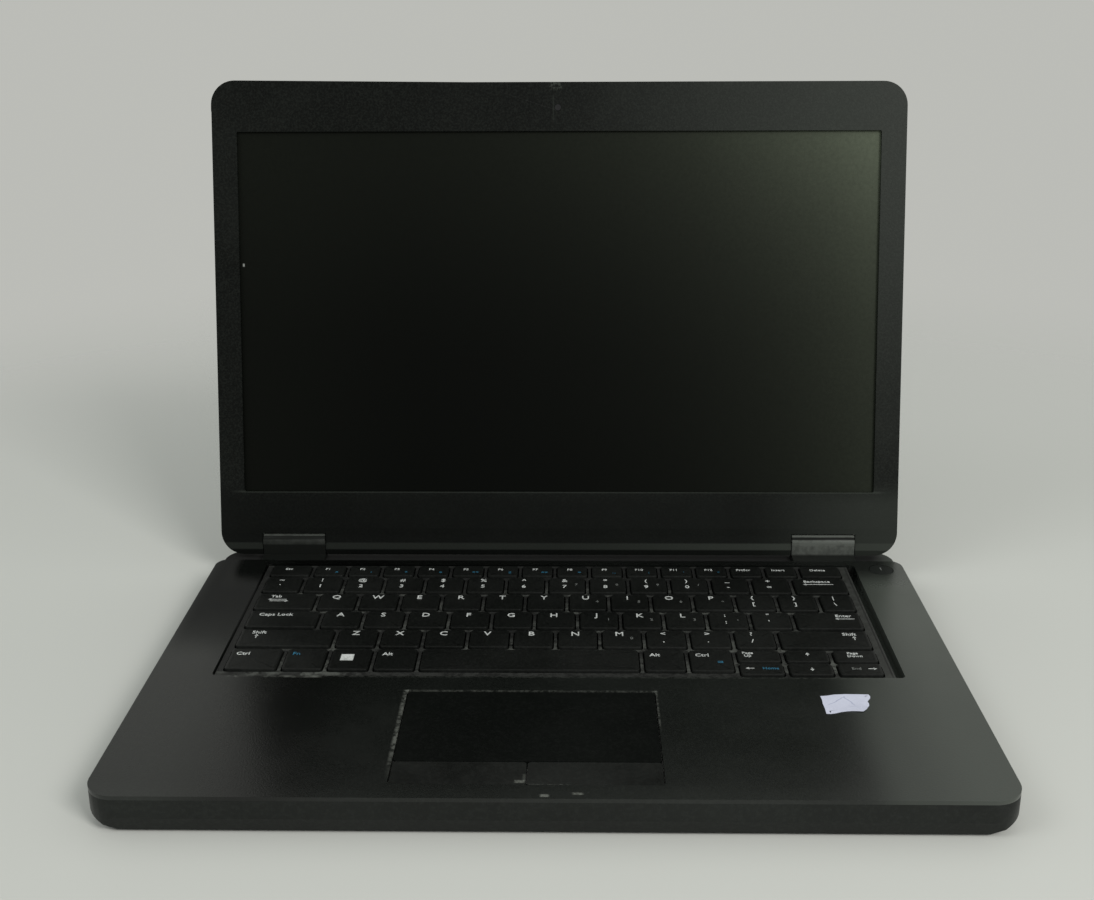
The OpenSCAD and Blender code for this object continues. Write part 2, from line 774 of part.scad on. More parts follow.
module coin_cell() {
    color("silver") in_frame() translate([0, board_front + 22, board_top_z]) cylinder(h = 2, r = 8);
}

speaker_gap = 3;
speaker_w = 12;
speaker_d = 38;
speaker_h = 6;

module speaker(side) {
    color("#101112") in_frame() on_side(side)
        translate([inner_w / 2 - speaker_gap - speaker_w, bay_front_y + 4, under_deck_z - speaker_h])
            cube([speaker_w, speaker_d, speaker_h]);
}

module speaker_left() { speaker(-1); }
module speaker_right() { speaker(1); }

// ---------------------------------------------------------------- hinges

bracket_x = cap_in + 6;
bracket_w = cap_w - 9;
cap_out = cap_in + cap_w;
arm_in = cap_out + cap_gap + 1.4;
knuckle_r = cap_r - cap_wall - 0.2;
leg_half = 1;
foot_t = 1.2;
foot_reach = 14;

// Steel knuckle on a leg that passes through the shelf to a foot under it
module hinge_bracket(side) {
    color("#7d8083") in_frame() on_side(side) difference() {
        union() {
            translate([bracket_x, axis_y, axis_z]) rotate([0, 90, 0]) cylinder(h = bracket_w, r = knuckle_r);
            translate([bracket_x, axis_y - leg_half, under_shelf_z - foot_t])
                cube([bracket_w, 2 * leg_half, axis_z - under_shelf_z + foot_t]);
            translate([bracket_x, axis_y - foot_reach, under_shelf_z - foot_t])
                cube([bracket_w, foot_reach, foot_t]);
        }
        translate([bracket_x - 1, axis_y, axis_z]) rotate([0, 90, 0])
            cylinder(h = bracket_w + 2, r = pin_r + pin_fit);
    }
}

module hinge_bracket_left() { hinge_bracket(-1); }
module hinge_bracket_right() { hinge_bracket(1); }

// Plastic cap: a barrel on a neck, with an apron that reaches forward to the deck
module hinge_cap(side) {
    inner_half = leg_half + fit;
    color(side > 0 ? "#3a3c3e" : "#242628") in_frame() on_side(side) difference() {
        union() {
            translate([cap_in, axis_y, axis_z]) rotate([0, 90, 0]) cylinder(h = cap_w, r = cap_r);
            translate([cap_in, axis_y - cap_r, shelf_z]) cube([cap_w, cap_r + neck_half, axis_z - shelf_z]);
            translate([cap_in, deck_back_y + apron_gap, shelf_z])
                cube([cap_w, axis_y - deck_back_y - apron_gap, apron_h]);
        }
        translate([cap_in + cap_end, axis_y, axis_z]) rotate([0, 90, 0])
            cylinder(h = cap_w - 2 * cap_end, r = cap_r - cap_wall);
        translate([cap_in + cap_end, axis_y - inner_half, shelf_z - 1])
            cube([cap_w - 2 * cap_end, 2 * inner_half, axis_z - shelf_z + 1]);
        translate([cap_in - 1, axis_y, axis_z]) rotate([0, 90, 0]) cylinder(h = cap_w + 2, r = pin_r + fit);
    }
}

cap_end = 2;
apron_gap = 1.2;
apron_h = 2.5;

module hinge_cap_left() { hinge_cap(-1); }
module hinge_cap_right() { hinge_cap(1); }

// Steel arm in the lid, with the pin that turns in the knuckle
module hinge_arm(side) {
    rail_x = lid_w / 2 - lid_wall - rail_gap - rail_w;
    color("#8b8e91") in_lid() on_side(side) {
        translate([bracket_x - 2, 0, 0]) rotate([0, 90, 0]) cylinder(h = arm_in - bracket_x + 2 + pin_seat, r = pin_r);
        translate([arm_in, -2, -arm_t / 2]) cube([rail_x - arm_in + eps, 14, arm_t]);
        translate([rail_x, corner_r - axis_to_edge, -arm_t / 2]) cube([rail_w, rail_h, arm_t]);
    }
}

pin_seat = 3;
rail_gap = 0.4;
rail_w = 4;
rail_h = 110;
arm_t = 1.4;

module hinge_arm_left() { hinge_arm(-1); }
module hinge_arm_right() { hinge_arm(1); }

// ---------------------------------------------------------------- lid

notch_top = cap_r + cap_gap;

// Room in the lid for the hinge caps, their necks and the pins
module hinge_notches() {
    for (side = [-1, 1]) on_side(side) {
        translate([cap_in - cap_gap, 0, 0]) rotate([0, 90, 0])
            cylinder(h = cap_w + 2 * cap_gap, r = cap_r + cap_gap);
        translate([cap_in - cap_gap, -axis_to_edge - 1, outer_n - 1])
            cube([cap_w + 2 * cap_gap, axis_to_edge + 1 + notch_top, lid_t + 2]);
        translate([cap_out, 0, 0]) rotate([0, 90, 0])
            cylinder(h = arm_in - cap_out + pin_seat + fit, r = pin_r + fit);
    }
}

// Outline of the lid from its lower edge up, h high
module lid_outline(inset) {
    translate([0, lid_h / 2 - axis_to_edge]) round_rect(lid_w - 2 * inset, lid_h - 2 * inset, corner_r - inset);
}

notch_wall = 1;

module lid_cover() {
    color("#202224") in_lid() difference() {
        translate([0, 0, outer_n]) linear_extrude(bezel_n - outer_n) lid_outline(0);
        difference() {
            translate([0, 0, cavity_n]) linear_extrude(lid_t) lid_outline(lid_wall);
            // Walls between the cavity and the hinge notches
            for (side = [-1, 1]) on_side(side)
                translate([cap_in - cap_gap - notch_wall, -axis_to_edge, outer_n])
                    cube([cap_w + 2 * (cap_gap + notch_wall), axis_to_edge + cap_r + cap_gap + notch_wall, lid_t]);
        }
        hinge_notches();
    }
}

webcam_y = lid_top - 12;
lens_r = 1.6;

module display_bezel() {
    color("#1b1c1e") in_lid() difference() {
        translate([0, 0, bezel_n]) linear_extrude(bezel_t) difference() {
            union() {
                lid_outline(0);
                // The edge has sprung from its clips along the left part of the top
                intersection() {
                    translate([sprung_end, lid_top]) rotate(-asin(sprung_h / sprung_w))
                        translate([-sprung_end, -lid_top]) lid_outline(0);
                    translate([-lid_w, lid_top - sprung_d]) square([lid_w + sprung_end, 2 * sprung_d]);
                }
            }
            translate([0, screen_mid_y]) round_rect(screen_w, screen_h, 0.8);
            translate([0, webcam_y]) circle(lens_r);
        }
        hinge_notches();
        // Below its crease the chin slopes back a little, and its lower edge rolls under
        along_x(lid_w + 2) polygon([
            [crease_y, axis_to_face], [roll_y, axis_to_face - crease_drop],
            [-axis_to_edge - eps, axis_to_face - roll_drop], [-axis_to_edge - 1, axis_to_face - roll_drop],
            [-axis_to_edge - 1, axis_to_face + 1], [crease_y, axis_to_face + 1]]);
    }
}

sprung_end = sprung_w - lid_w / 2;
sprung_d = corner_r + 2;
crease_drop = 0.35;
roll_y = 2.6 - axis_to_edge;
roll_drop = 1.15;
crease_y = 13.4 - axis_to_edge;

module screen_panel() {
    color("#0d0f0e") in_lid() translate([0, screen_mid_y, panel_n])
        round_block(screen_w + 2 * panel_over, screen_h + 2 * panel_over, panel_t, 1);
}

module webcam_module() {
    color("#1f5a3c") in_lid() translate([-30, webcam_y - 2.6, cavity_n + 0.4]) {
        cube([60, 5.2, 1]);
        translate([30, 2.6, 0]) cylinder(h = bezel_n - cavity_n - 0.4 + 0.5, r = lens_r - 0.3);
        for (x = [3, 57]) translate([x, 2.6, -0.4]) cylinder(h = 0.4 + eps, r = 1.5);
    }
}

module display_cable() {
    color("#0c0c0d") in_lid() translate([-96, -axis_to_edge + lid_wall + 0.6, cavity_n])
        cube([14, chin_h - lid_wall - panel_over - 1.4, 0.8]);
}

// ---------------------------------------------------------------- assembly

base_cover();
palm_rest();
keyboard_plate();
key_membrane();
touchpad();
touchpad_bracket();
touchpad_button_left();
touchpad_button_right();
power_button();
motherboard();
heatsink();
fan_housing();
fan_rotor();
battery();
memory_module();
drive();
wireless_card();
coin_cell();
speaker_left();
speaker_right();
power_inlet();
usb_port_left();
usb_port_right();
video_port();
network_port();
audio_jack();
rubber_feet();
base_screws();
hinge_bracket_left();
hinge_bracket_right();
hinge_cap_left();
hinge_cap_right();
paper_label();
lid_cover();
display_bezel();
screen_panel();
hinge_arm_left();
hinge_arm_right();
webcam_module();
display_cable();
function_keys();
number_keys();
backspace_key();
tab_key();
upper_letter_keys();
caps_lock_key();
home_letter_keys();
enter_key();
left_shift_key();
lower_letter_keys();
right_shift_key();
modifier_keys();
space_key();
page_up_key();
up_key();
page_down_key();
left_key();
down_key();
right_key();
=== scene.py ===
import json
import math

import bmesh
import bpy
from mathutils import Matrix, Vector


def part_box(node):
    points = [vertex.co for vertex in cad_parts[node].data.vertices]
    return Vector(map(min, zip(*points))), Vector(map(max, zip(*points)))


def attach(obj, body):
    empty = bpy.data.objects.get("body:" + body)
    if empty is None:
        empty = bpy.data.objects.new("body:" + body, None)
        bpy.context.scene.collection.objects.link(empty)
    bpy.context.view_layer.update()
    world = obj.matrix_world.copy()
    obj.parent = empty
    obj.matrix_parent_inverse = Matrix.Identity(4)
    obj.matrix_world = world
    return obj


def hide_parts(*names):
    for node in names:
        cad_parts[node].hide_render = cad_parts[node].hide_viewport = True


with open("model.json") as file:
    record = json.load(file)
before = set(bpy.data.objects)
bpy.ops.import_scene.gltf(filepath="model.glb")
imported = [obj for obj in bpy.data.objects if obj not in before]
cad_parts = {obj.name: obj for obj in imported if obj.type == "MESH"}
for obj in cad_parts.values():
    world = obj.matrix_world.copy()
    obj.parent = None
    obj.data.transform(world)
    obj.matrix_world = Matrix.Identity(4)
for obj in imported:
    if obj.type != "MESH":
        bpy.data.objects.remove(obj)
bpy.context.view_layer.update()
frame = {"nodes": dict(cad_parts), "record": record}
nodes = frame["nodes"]
MM = 0.001

# ---------------------------------------------------------------- camera
# A hand-held camera in front of the open laptop, a little above it and turned down to it.
front_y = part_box("palm_rest")[0].y
EYE_RIGHT = 7.0 * MM
EYE_AWAY = 422 * MM
EYE_UP = 290.9 * MM
TURN_LEFT = 0.0189
TURN_DOWN = 0.3345
TILT = -0.0049
eye = Vector((EYE_RIGHT, front_y - EYE_AWAY, EYE_UP))
turn = Matrix.Rotation(TURN_LEFT, 4, "Z") @ Matrix.Rotation(math.pi / 2 - TURN_DOWN, 4, "X")
turn = turn @ Matrix.Rotation(TILT, 4, "Z")
camera_data = bpy.data.cameras.new("camera")
camera_data.sensor_width = 36
camera_data.lens = 46.18
camera = bpy.data.objects.new("camera", camera_data)
camera.matrix_world = Matrix.Translation(eye) @ turn
scene = bpy.context.scene
scene.collection.objects.link(camera)
scene.camera = camera

# ---------------------------------------------------------------- light and ground
# A pale table that fades into a pale surround, which shows in gloss too. One soft lamp stands to
# the front right, a weaker one to the left, and the rest of the light is even.
PALE = (0.50, 0.505, 0.475, 1)
TABLE = (0.565, 0.565, 0.54, 1)
scene.view_settings.view_transform = "Standard"


class Wire:
    """One value in a shader, which plain arithmetic and further nodes extend."""

    def __init__(self, tree, socket=None):
        self.tree = tree
        self.socket = socket

    def node(self, kind, settings, values, out=0):
        made = self.tree.nodes.new(kind)
        for name, value in settings.items():
            setattr(made, name, value)
        for name, value in values.items():
            if isinstance(value, Wire):
                self.tree.links.new(value.socket, made.inputs[name])
            else:
                made.inputs[name].default_value = value
        return Wire(self.tree, made.outputs[out])

    def math(self, operation, *terms):
        return self.node("ShaderNodeMath", {"operation": operation}, dict(enumerate(terms)))

    def __add__(self, other):
        return self.math("ADD", self, other)

    __radd__ = __add__

    def __sub__(self, other):
        return self.math("SUBTRACT", self, other)

    def __rsub__(self, other):
        return self.math("SUBTRACT", other, self)

    def __mul__(self, other):
        return self.math("MULTIPLY", self, other)

    __rmul__ = __mul__

    def fade(self, none, full):
        """0 where the value is at none, 1 at full, smooth between them."""
        return self.node("ShaderNodeMapRange", {"interpolation_type": "SMOOTHSTEP"},
                         {"Value": self, "From Min": none, "From Max": full})

    def tint(self, first, second):
        """The first colour where the value is 0, the second where it is 1."""
        return self.node("ShaderNodeMix", {"data_type": "RGBA"}, {0: self, 6: first, 7: second}, 2)

    def feed(self, shader, name):
        self.tree.links.new(self.socket, shader.inputs[name])


world = bpy.data.worlds.new("surround")
scene.world = world
world.use_nodes = True
world.node_tree.nodes.clear()
sky = Wire(world.node_tree)
seen = sky.math("MAXIMUM", sky.node("ShaderNodeLightPath", {}, {}, "Is Camera Ray"),
                sky.node("ShaderNodeLightPath", {}, {}, "Is Glossy Ray"))
seen = sky.math("MAXIMUM", seen, sky.node("ShaderNodeLightPath", {}, {}, "Is Transmission Ray"))
lit = sky.node("ShaderNodeBackground", {}, {"Color": (0.95, 1.0, 0.96, 1), "Strength": 0.56})
shown = sky.node("ShaderNodeBackground", {}, {"Color": PALE, "Strength": 1.0})
sky.node("ShaderNodeMixShader", {}, {0: seen, 1: lit, 2: shown}).feed(
    world.node_tree.nodes.new("ShaderNodeOutputWorld"), "Surface")


def soft_lamp(name, place, aim, size, watts, colour):
    data = bpy.data.lights.new(name, "AREA")
    data.shape = "RECTANGLE"
    data.size, data.size_y = size
    data.energy = watts
    data.color = colour
    lamp = bpy.data.objects.new(name, data)
    lamp.location = place
    lamp.rotation_mode = "QUATERNION"
    lamp.rotation_quaternion = (Vector(aim) - Vector(place)).to_track_quat("-Z", "Y")
    lamp.visible_camera = False
    scene.collection.objects.link(lamp)


soft_lamp("lamp_right", (0.85, -1.15, 1.05), (0, 0, 0.1), (0.6, 0.6), 18, (1.0, 1.0, 0.97))
soft_lamp("lamp_left", (-1.2, -0.6, 1.3), (0, 0, 0.05), (0.8, 0.8), 5, (0.97, 1.0, 1.0))

bpy.ops.object.select_all(action="DESELECT")
bpy.ops.mesh.primitive_circle_add(vertices=64, radius=3, fill_type="NGON", location=(0, 0, 0))
table = bpy.context.object
table.name = "table"
table_paint = bpy.data.materials.new("pale_table")
table_paint.use_nodes = True
table_tree = table_paint.node_tree
table_shader = table_tree.nodes["Principled BSDF"]
table_shader.inputs["Base Color"].default_value = TABLE
table_shader.inputs["Roughness"].default_value = 0.6
table_shader.inputs["Specular IOR Level"].default_value = 0.25
spot = Wire(table_tree).node("ShaderNodeTexCoord", {}, {}, "Object")
away = spot.node("ShaderNodeVectorMath", {"operation": "LENGTH"}, {0: spot}, "Value")
clear = spot.node("ShaderNodeBsdfTransparent", {}, {})
spot.node("ShaderNodeMixShader", {},
          {0: away.fade(0.3, 0.85), 1: Wire(table_tree, table_shader.outputs[0]), 2: clear}).feed(
    table_tree.nodes["Material Output"], "Surface")
table.data.materials.append(table_paint)

# ---------------------------------------------------------------- base cover
# The moulded black tray that carries everything: one plastic moulding with slanted lower edges,
# held to the palm rest by screws from below. Its parting edges are slightly rounded.
BLACK = (0.0050, 0.0060, 0.0052, 1)
BLACK_WORN = (0.0165, 0.0190, 0.0168, 1)
SHARP = math.radians(32)


def new_finish(name):
    material = bpy.data.materials.new(name)
    material.use_nodes = True
    shader = material.node_tree.nodes["Principled BSDF"]
    return material, shader, Wire(material.node_tree).node("ShaderNodeTexCoord", {}, {}, "Object")


def grain(place, scale, detail=2.0, rough=0.5):
    return place.node("ShaderNodeTexNoise", {},
                      {"Vector": place, "Scale": scale, "Detail": detail, "Roughness": rough})


def moulded(name, dark, pale, low, high, pebble=0.6, shine=0.4):
    """Moulded black plastic: a pebbled skin, faint handling marks and fine pale specks."""
    material, shader, place = new_finish(name)
    pebbles = grain(place, 1500, 1.0)
    marks = grain(place, 18, 4.0, 0.6).fade(0.35, 0.75)
    speckle = grain(place, 700, 2.0, 0.7).fade(0.42, 0.72)
    amount = speckle * 0.38 + marks * 0.3
    amount.tint(dark, pale).feed(shader, "Base Color")
    (marks * (high - low) + pebbles * 0.1 + (low - 0.05)).feed(shader, "Roughness")
    shader.inputs["Specular IOR Level"].default_value = shine
    place.node("ShaderNodeBump", {}, {"Strength": pebble, "Distance": 0.00006,
                                      "Height": pebbles}).feed(shader, "Normal")
    return material


def dress(name, material):
    for slot in nodes[name].material_slots:
        slot.material = material


def soften(name, width, steps=2):
    """Rounds the sharp edges of a moulding as its tool does."""
    weld = nodes[name].modifiers.new("weld", "WELD")
    weld.merge_threshold = 0.000002
    round_edge = nodes[name].modifiers.new("round_edge", "BEVEL")
    round_edge.width = width
    round_edge.segments = steps
    round_edge.limit_method = "ANGLE"
    round_edge.angle_limit = SHARP
    round_edge.harden_normals = True


base_plastic = moulded("base_plastic", BLACK, BLACK_WORN, 0.4, 0.52, shine=0.25)
dress("base_cover", base_plastic)
soften("base_cover", 0.0006)

# ---------------------------------------------------------------- feet and screws
# Four oblong rubber feet sit under the cover, and blackened steel screws hold the cover on.
rubber, rubber_shader, rubber_place = new_finish("rubber")
rub = grain(rubber_place, 900, 3.0, 0.7)
rub.tint((0.010, 0.010, 0.010, 1), (0.032, 0.032, 0.030, 1)).feed(rubber_shader, "Base Color")
(rub * 0.2 + 0.6).feed(rubber_shader, "Roughness")
dress("rubber_feet", rubber)
soften("rubber_feet", 0.0003)


def rolled_metal(name, dark, pale, stretch, roughness):
    """Metal with the fine lines that rolling leaves along it."""
    material, shader, place = new_finish(name)
    drawn = place.node("ShaderNodeMapping", {}, {"Vector": place, "Scale": stretch})
    lines = grain(drawn, 900, 3.0, 0.6)
    cloud = grain(place, 60, 3.0, 0.6).fade(0.3, 0.75)
    (lines * 0.6 + cloud * 0.4).tint(dark, pale).feed(shader, "Base Color")
    (lines * 0.2 + cloud * 0.12 + roughness).feed(shader, "Roughness")
    shader.inputs["Metallic"].default_value = 1.0
    place.node("ShaderNodeBump", {}, {"Strength": 0.2, "Distance": 0.00003,
                                      "Height": lines}).feed(shader, "Normal")
    return material


steel = rolled_metal("steel", (0.30, 0.30, 0.30, 1), (0.52, 0.52, 0.51, 1), (1, 0.06, 1), 0.28)
dress("base_screws", rolled_metal("blackened_steel", (0.02, 0.02, 0.02, 1),
                                  (0.09, 0.09, 0.088, 1), (1, 1, 1), 0.3))

# ---------------------------------------------------------------- board and cards
# Green glass-fibre board with copper tracks under the lacquer and pale solder dots.
board, board_shader, board_place = new_finish("circuit_board")
tracks = board_place.node("ShaderNodeTexBrick", {"offset": 0.35, "squash": 0.6},
                          {"Vector": board_place, "Scale": 160.0, "Mortar Size": 0.06,
                           "Color1": (0, 0, 0, 1), "Color2": (0, 0, 0, 1),
                           "Mortar": (1, 1, 1, 1)}, "Fac")
solder = board_place.node("ShaderNodeTexVoronoi", {}, {"Vector": board_place, "Scale": 330.0},
                          "Distance").fade(0.22, 0.12)
lacquer = (tracks * 0.5 + grain(board_place, 40, 3.0) * 0.5).tint((0.006, 0.050, 0.022, 1),
                                                                 (0.025, 0.135, 0.060, 1))
solder.tint(lacquer, (0.42, 0.43, 0.42, 1)).feed(board_shader, "Base Color")
(solder * 0.7).feed(board_shader, "Metallic")
board_shader.inputs["Roughness"].default_value = 0.35
for name in ("motherboard", "memory_module", "wireless_card", "webcam_module"):
    dress(name, board)

# ---------------------------------------------------------------- cooling
# A flat copper heat pipe with its fins, and a fan whose case and rotor are moulded in black. The
# key membrane, speakers, power and audio sockets and the cable's sleeve have the same black look.
copper = rolled_metal("copper", (0.45, 0.17, 0.09, 1), (0.68, 0.31, 0.18, 1), (0.06, 1, 1), 0.3)
dress("heatsink", copper)
inner_plastic = moulded("inner_plastic", (0.012, 0.012, 0.013, 1), (0.035, 0.035, 0.036, 1),
                        0.45, 0.6, 0.3)
for name in ("fan_housing", "fan_rotor", "key_membrane", "speaker_left", "speaker_right",
             "power_inlet", "audio_jack", "display_cable"):
    dress(name, inner_plastic)

# ---------------------------------------------------------------- battery and drive
# The battery's cells lie in a dull black wrap, and the drive and the button cell are bare steel,
# as are the brackets and the arms of the hinges.
wrap, wrap_shader, wrap_place = new_finish("battery_wrap")
creased = grain(wrap_place, 55, 5.0, 0.65)
creased.tint((0.012, 0.012, 0.013, 1), (0.04, 0.04, 0.042, 1)).feed(wrap_shader, "Base Color")
(creased * 0.3 + 0.35).feed(wrap_shader, "Roughness")
wrap_place.node("ShaderNodeBump", {}, {"Strength": 0.4, "Distance": 0.0003,
                                       "Height": creased}).feed(wrap_shader, "Normal")
dress("battery", wrap)
for name in ("drive", "coin_cell", "touchpad_bracket", "hinge_bracket_left",
             "hinge_bracket_right", "hinge_arm_left", "hinge_arm_right"):
    dress(name, steel)
soften("drive", 0.0006)

# ---------------------------------------------------------------- sockets
# Bright folded steel shells stand behind the openings in the sides of the cover.
for name in ("usb_port_left", "usb_port_right", "video_port", "network_port"):
    dress(name, steel)

# ---------------------------------------------------------------- palm rest
# The upper moulding round the keys and the touchpad. Dust lies in the groove round the touchpad
# and on the front lip of the key well, and two chips mark the middle of the front edge. The sides
# and front edge carry a painted highlight, the right side a painted reflection, and the left and
# back parts and the shelf under the lid are darkened with painted shade.
DUST = (0.135, 0.140, 0.125, 1)
palm_low, palm_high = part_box("palm_rest")
pad_low, pad_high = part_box("touchpad")
plate_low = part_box("keyboard_plate")[0]
deck_plastic, deck_shader, deck_place = new_finish("deck_plastic")


def along(place, axis):
    return place.node("ShaderNodeSeparateXYZ", {}, {0: place}, axis)


def near(value, middle, reach):
    """1 on the line where the value is at the middle, 0 further than its reach."""
    offset = value - middle
    return offset.math("ABSOLUTE", offset).fade(reach, reach * 0.35)


def between(value, low, high, soft):
    return value.fade(low - soft, low) * value.fade(high + soft, high)


x, y = along(deck_place, 0), along(deck_place, 1)
z = along(deck_place, 2)
flecks = grain(deck_place, 480, 2.0, 0.7).fade(0.38, 0.62)
clumps = grain(deck_place, 95, 3.0, 0.7).fade(0.42, 0.6)
pad_end = y.fade(pad_high.y + 0.0012, pad_high.y + 0.0004)
left_line = near(x, pad_low.x - 0.0006, 0.0018) * y.fade(pad_low.y - 0.016, pad_low.y + 0.014)
top_line = near(y, pad_high.y + 0.0005, 0.0009) * between(x, pad_low.x, pad_high.x, 0.002)
right_line = near(x, pad_high.x + 0.0005, 0.0009) * y.fade(pad_high.y - 0.034, pad_high.y - 0.022)
lip_line = near(y, plate_low.y - 0.0010, 0.0012) * between(x, -0.134, -0.098, 0.004) * clumps
lip_faint = near(y, plate_low.y - 0.0008, 0.0009) * between(x, -0.134, 0.138, 0.004) * flecks
chip_a = near(y, palm_low.y + 0.0020, 0.0012) * between(x, -0.0034, -0.0016, 0.0012)
chip_b = near(y, palm_low.y + 0.0033, 0.0010) * between(x, 0.0080, 0.0102, 0.0014)
chips = (chip_a + chip_b) * (flecks * 0.6 + 0.4)
# Painted highlight: the sides, the right one most, and the front edge are painted paler where light
# falls on them; the specks and marks mixed in are real wear.
lit_sides = x.fade(0.104, 0.124) + x.fade(-0.125, -0.150) * 0.25 * y.fade(-0.05, -0.09)
front_highlight = y.fade(palm_low.y + 0.012, palm_low.y + 0.001)
marks = grain(deck_place, 18, 4.0, 0.6).fade(0.35, 0.75)
speckle = grain(deck_place, 700, 2.0, 0.7).fade(0.42, 0.72)
pebbles = grain(deck_place, 1500, 1.0)
wear_and_highlights = speckle * 0.3 + marks * 0.2 + lit_sides * 0.7 + front_highlight * 0.2
skin = wear_and_highlights.tint(BLACK, BLACK_WORN)
# Painted shade: the shelf under the lid and the strip behind the keys are painted near black, and made
# rougher.
shaded_shelf = z.fade(palm_high.z - 0.0012, palm_high.z - 0.002) * y.fade(0.060, 0.065)
shaded_shelf = shaded_shelf + y.fade(0.0655, 0.0680) * between(x, -0.136, 0.136, 0.004)
shaded_shelf = shaded_shelf.math("MINIMUM", shaded_shelf, 1.0)
skin = shaded_shelf.tint(skin, (0.0010, 0.0011, 0.0010, 1))
# Painted shade: the left of the deck, its rear left and the whole back are painted darker; the same
# masks also change the roughness there.
shaded_left = x.fade(-0.140, -0.112) * x.fade(0.02, -0.04) * (1 - x.fade(-0.108, -0.070) * 0.75)
shaded_parts = x.fade(0.0, -0.152) * x.fade(-0.172, -0.160) * y.fade(-0.04, 0.02)
back = y.fade(0.028, 0.056) * x.fade(-0.160, -0.151)
matt = (shaded_shelf + shaded_parts * (1 - back)) * 0.65 - back * 0.1
shaded_parts = shaded_parts.math("MAXIMUM", shaded_parts, back)
skin = (shaded_left * 0.8 + shaded_parts * 0.6).tint(skin, (0.0008, 0.0010, 0.0008, 1))
# Painted reflection: the right side is painted paler, less so towards its back corner, where painted
# shade takes over.
reflected_right = x.fade(0.110, 0.128) * 0.5 + x.fade(0.126, 0.156) * 0.4
reflected_right = reflected_right + x.fade(0.13, 0.16) * y.fade(-0.08, 0.02) * 0.4
reflected_right = reflected_right * (1 - y.fade(0.034, 0.060) * (x.fade(0.166, 0.154) * 0.6 + 0.4))
skin = (reflected_right * 0.8).tint(skin, (0.059, 0.066, 0.057, 1))
dusty = (left_line * 0.62 + top_line * 0.34 + right_line * 0.34) * (flecks * 0.8 + 0.12) * pad_end
dusty = dusty + lip_line * 0.6 + lip_faint * 0.12
dusty = dusty + chips * 0.85
dusty.math("MINIMUM", dusty, 1.0).tint(skin, DUST).feed(deck_shader, "Base Color")
(marks * 0.08 + pebbles * 0.1 + 0.24 + dusty * 0.3 - shaded_left * 0.06 + matt).feed(
    deck_shader, "Roughness")
deck_shader.inputs["Specular IOR Level"].default_value = 0.42
deck_place.node("ShaderNodeBump", {}, {"Strength": 0.5, "Distance": 0.00006,
                                       "Height": pebbles}).feed(deck_shader, "Normal")
dress("palm_rest", deck_plastic)
soften("palm_rest", 0.0012, 3)

# ---------------------------------------------------------------- key well
# A matt black plate closes the well. A thin moulded lattice lies on it between the keys, pale
# with dust where no finger wipes it, and ends in a narrow slot at its right side. The strip beside
# the last keys is paler still, with dust and with painted light.
PITCH = 19.05 * MM
ROW_PITCH = 18.3 * MM
KEY_GAP = 2.5 * MM
RIB_SPACE = 0.6 * MM
LATTICE_TOP = 14.7 * MM
LATTICE_TALL = 1.2 * MM
HOLE_ROUND = 1.6 * MM
SPACE_WIDE = 4.9
FUNCTION_WIDE = 12.18 / 14
ROWS = {
    "function_keys": [1.1] + [FUNCTION_WIDE] * 14 + [1.1],
    "number_keys": [1] * 13,
    "backspace_key": [1.38],
    "tab_key": [1.5],
    "upper_letter_keys": [1] * 12 + [0.88],
    "caps_lock_key": [1.75],
    "home_letter_keys": [1] * 11,
    "enter_key": [1.63],
    "left_shift_key": [2.25],
    "lower_letter_keys": [1] * 10,
    "right_shift_key": [2.13],
    "modifier_keys": [1.25, 1, 1, 1, None, 1, 1.05],
    "space_key": [SPACE_WIDE],
    "page_up_key": [1.06],
    "up_key": [1.06],
    "page_down_key": [1.06],
    "left_key": [1.06],
    "down_key": [1.06],
    "right_key": [1.06],
}
dress("keyboard_plate", base_plastic)


def key_places(name):
    """Middle, width and depth of each key of a row. Its widths are in pitches, and None is the
    room of the space bar."""
    low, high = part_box(name)
    left = low.x
    places = []
    for width in ROWS[name]:
        if width is None:
            left += SPACE_WIDE * PITCH
            continue
        places.append((left + (width * PITCH - KEY_GAP) / 2, (low.y + high.y) / 2,
                       width * PITCH - KEY_GAP, high.y - low.y))
        left += width * PITCH
    return places


def pick(kind, test):
    """Selects the edges or faces of the piece in edit mode for which the test holds."""
    bpy.ops.mesh.select_mode(type=kind)
    bpy.ops.mesh.select_all(action="DESELECT")
    form = bmesh.from_edit_mesh(bpy.context.object.data)
    for item in (form.edges if kind == "EDGE" else form.faces):
        item.select_set(test(item))
    bmesh.update_edit_mesh(bpy.context.object.data)


def upright(edge):
    ends = edge.verts[0].co - edge.verts[1].co
    return abs(ends.z) > 0.9 * ends.length


def block(name, low, high):
    """A box between two corners, as the start of a piece."""
    bpy.ops.object.select_all(action="DESELECT")
    bpy.ops.mesh.primitive_cube_add(size=1, location=[(a + b) / 2 for a, b in zip(low, high)])
    made = bpy.context.object
    made.name = name
    made.scale = [b - a for a, b in zip(low, high)]
    bpy.ops.object.transform_apply(location=True, rotation=True, scale=True)
    return made


def join(pieces):
    bpy.ops.object.select_all(action="DESELECT")
    for piece in pieces:
        piece.select_set(True)
    bpy.context.view_layer.objects.active = pieces[0]
    if len(pieces) > 1:
        bpy.ops.object.join()
    bpy.ops.object.transform_apply(location=True, rotation=True, scale=True)
    return pieces[0]


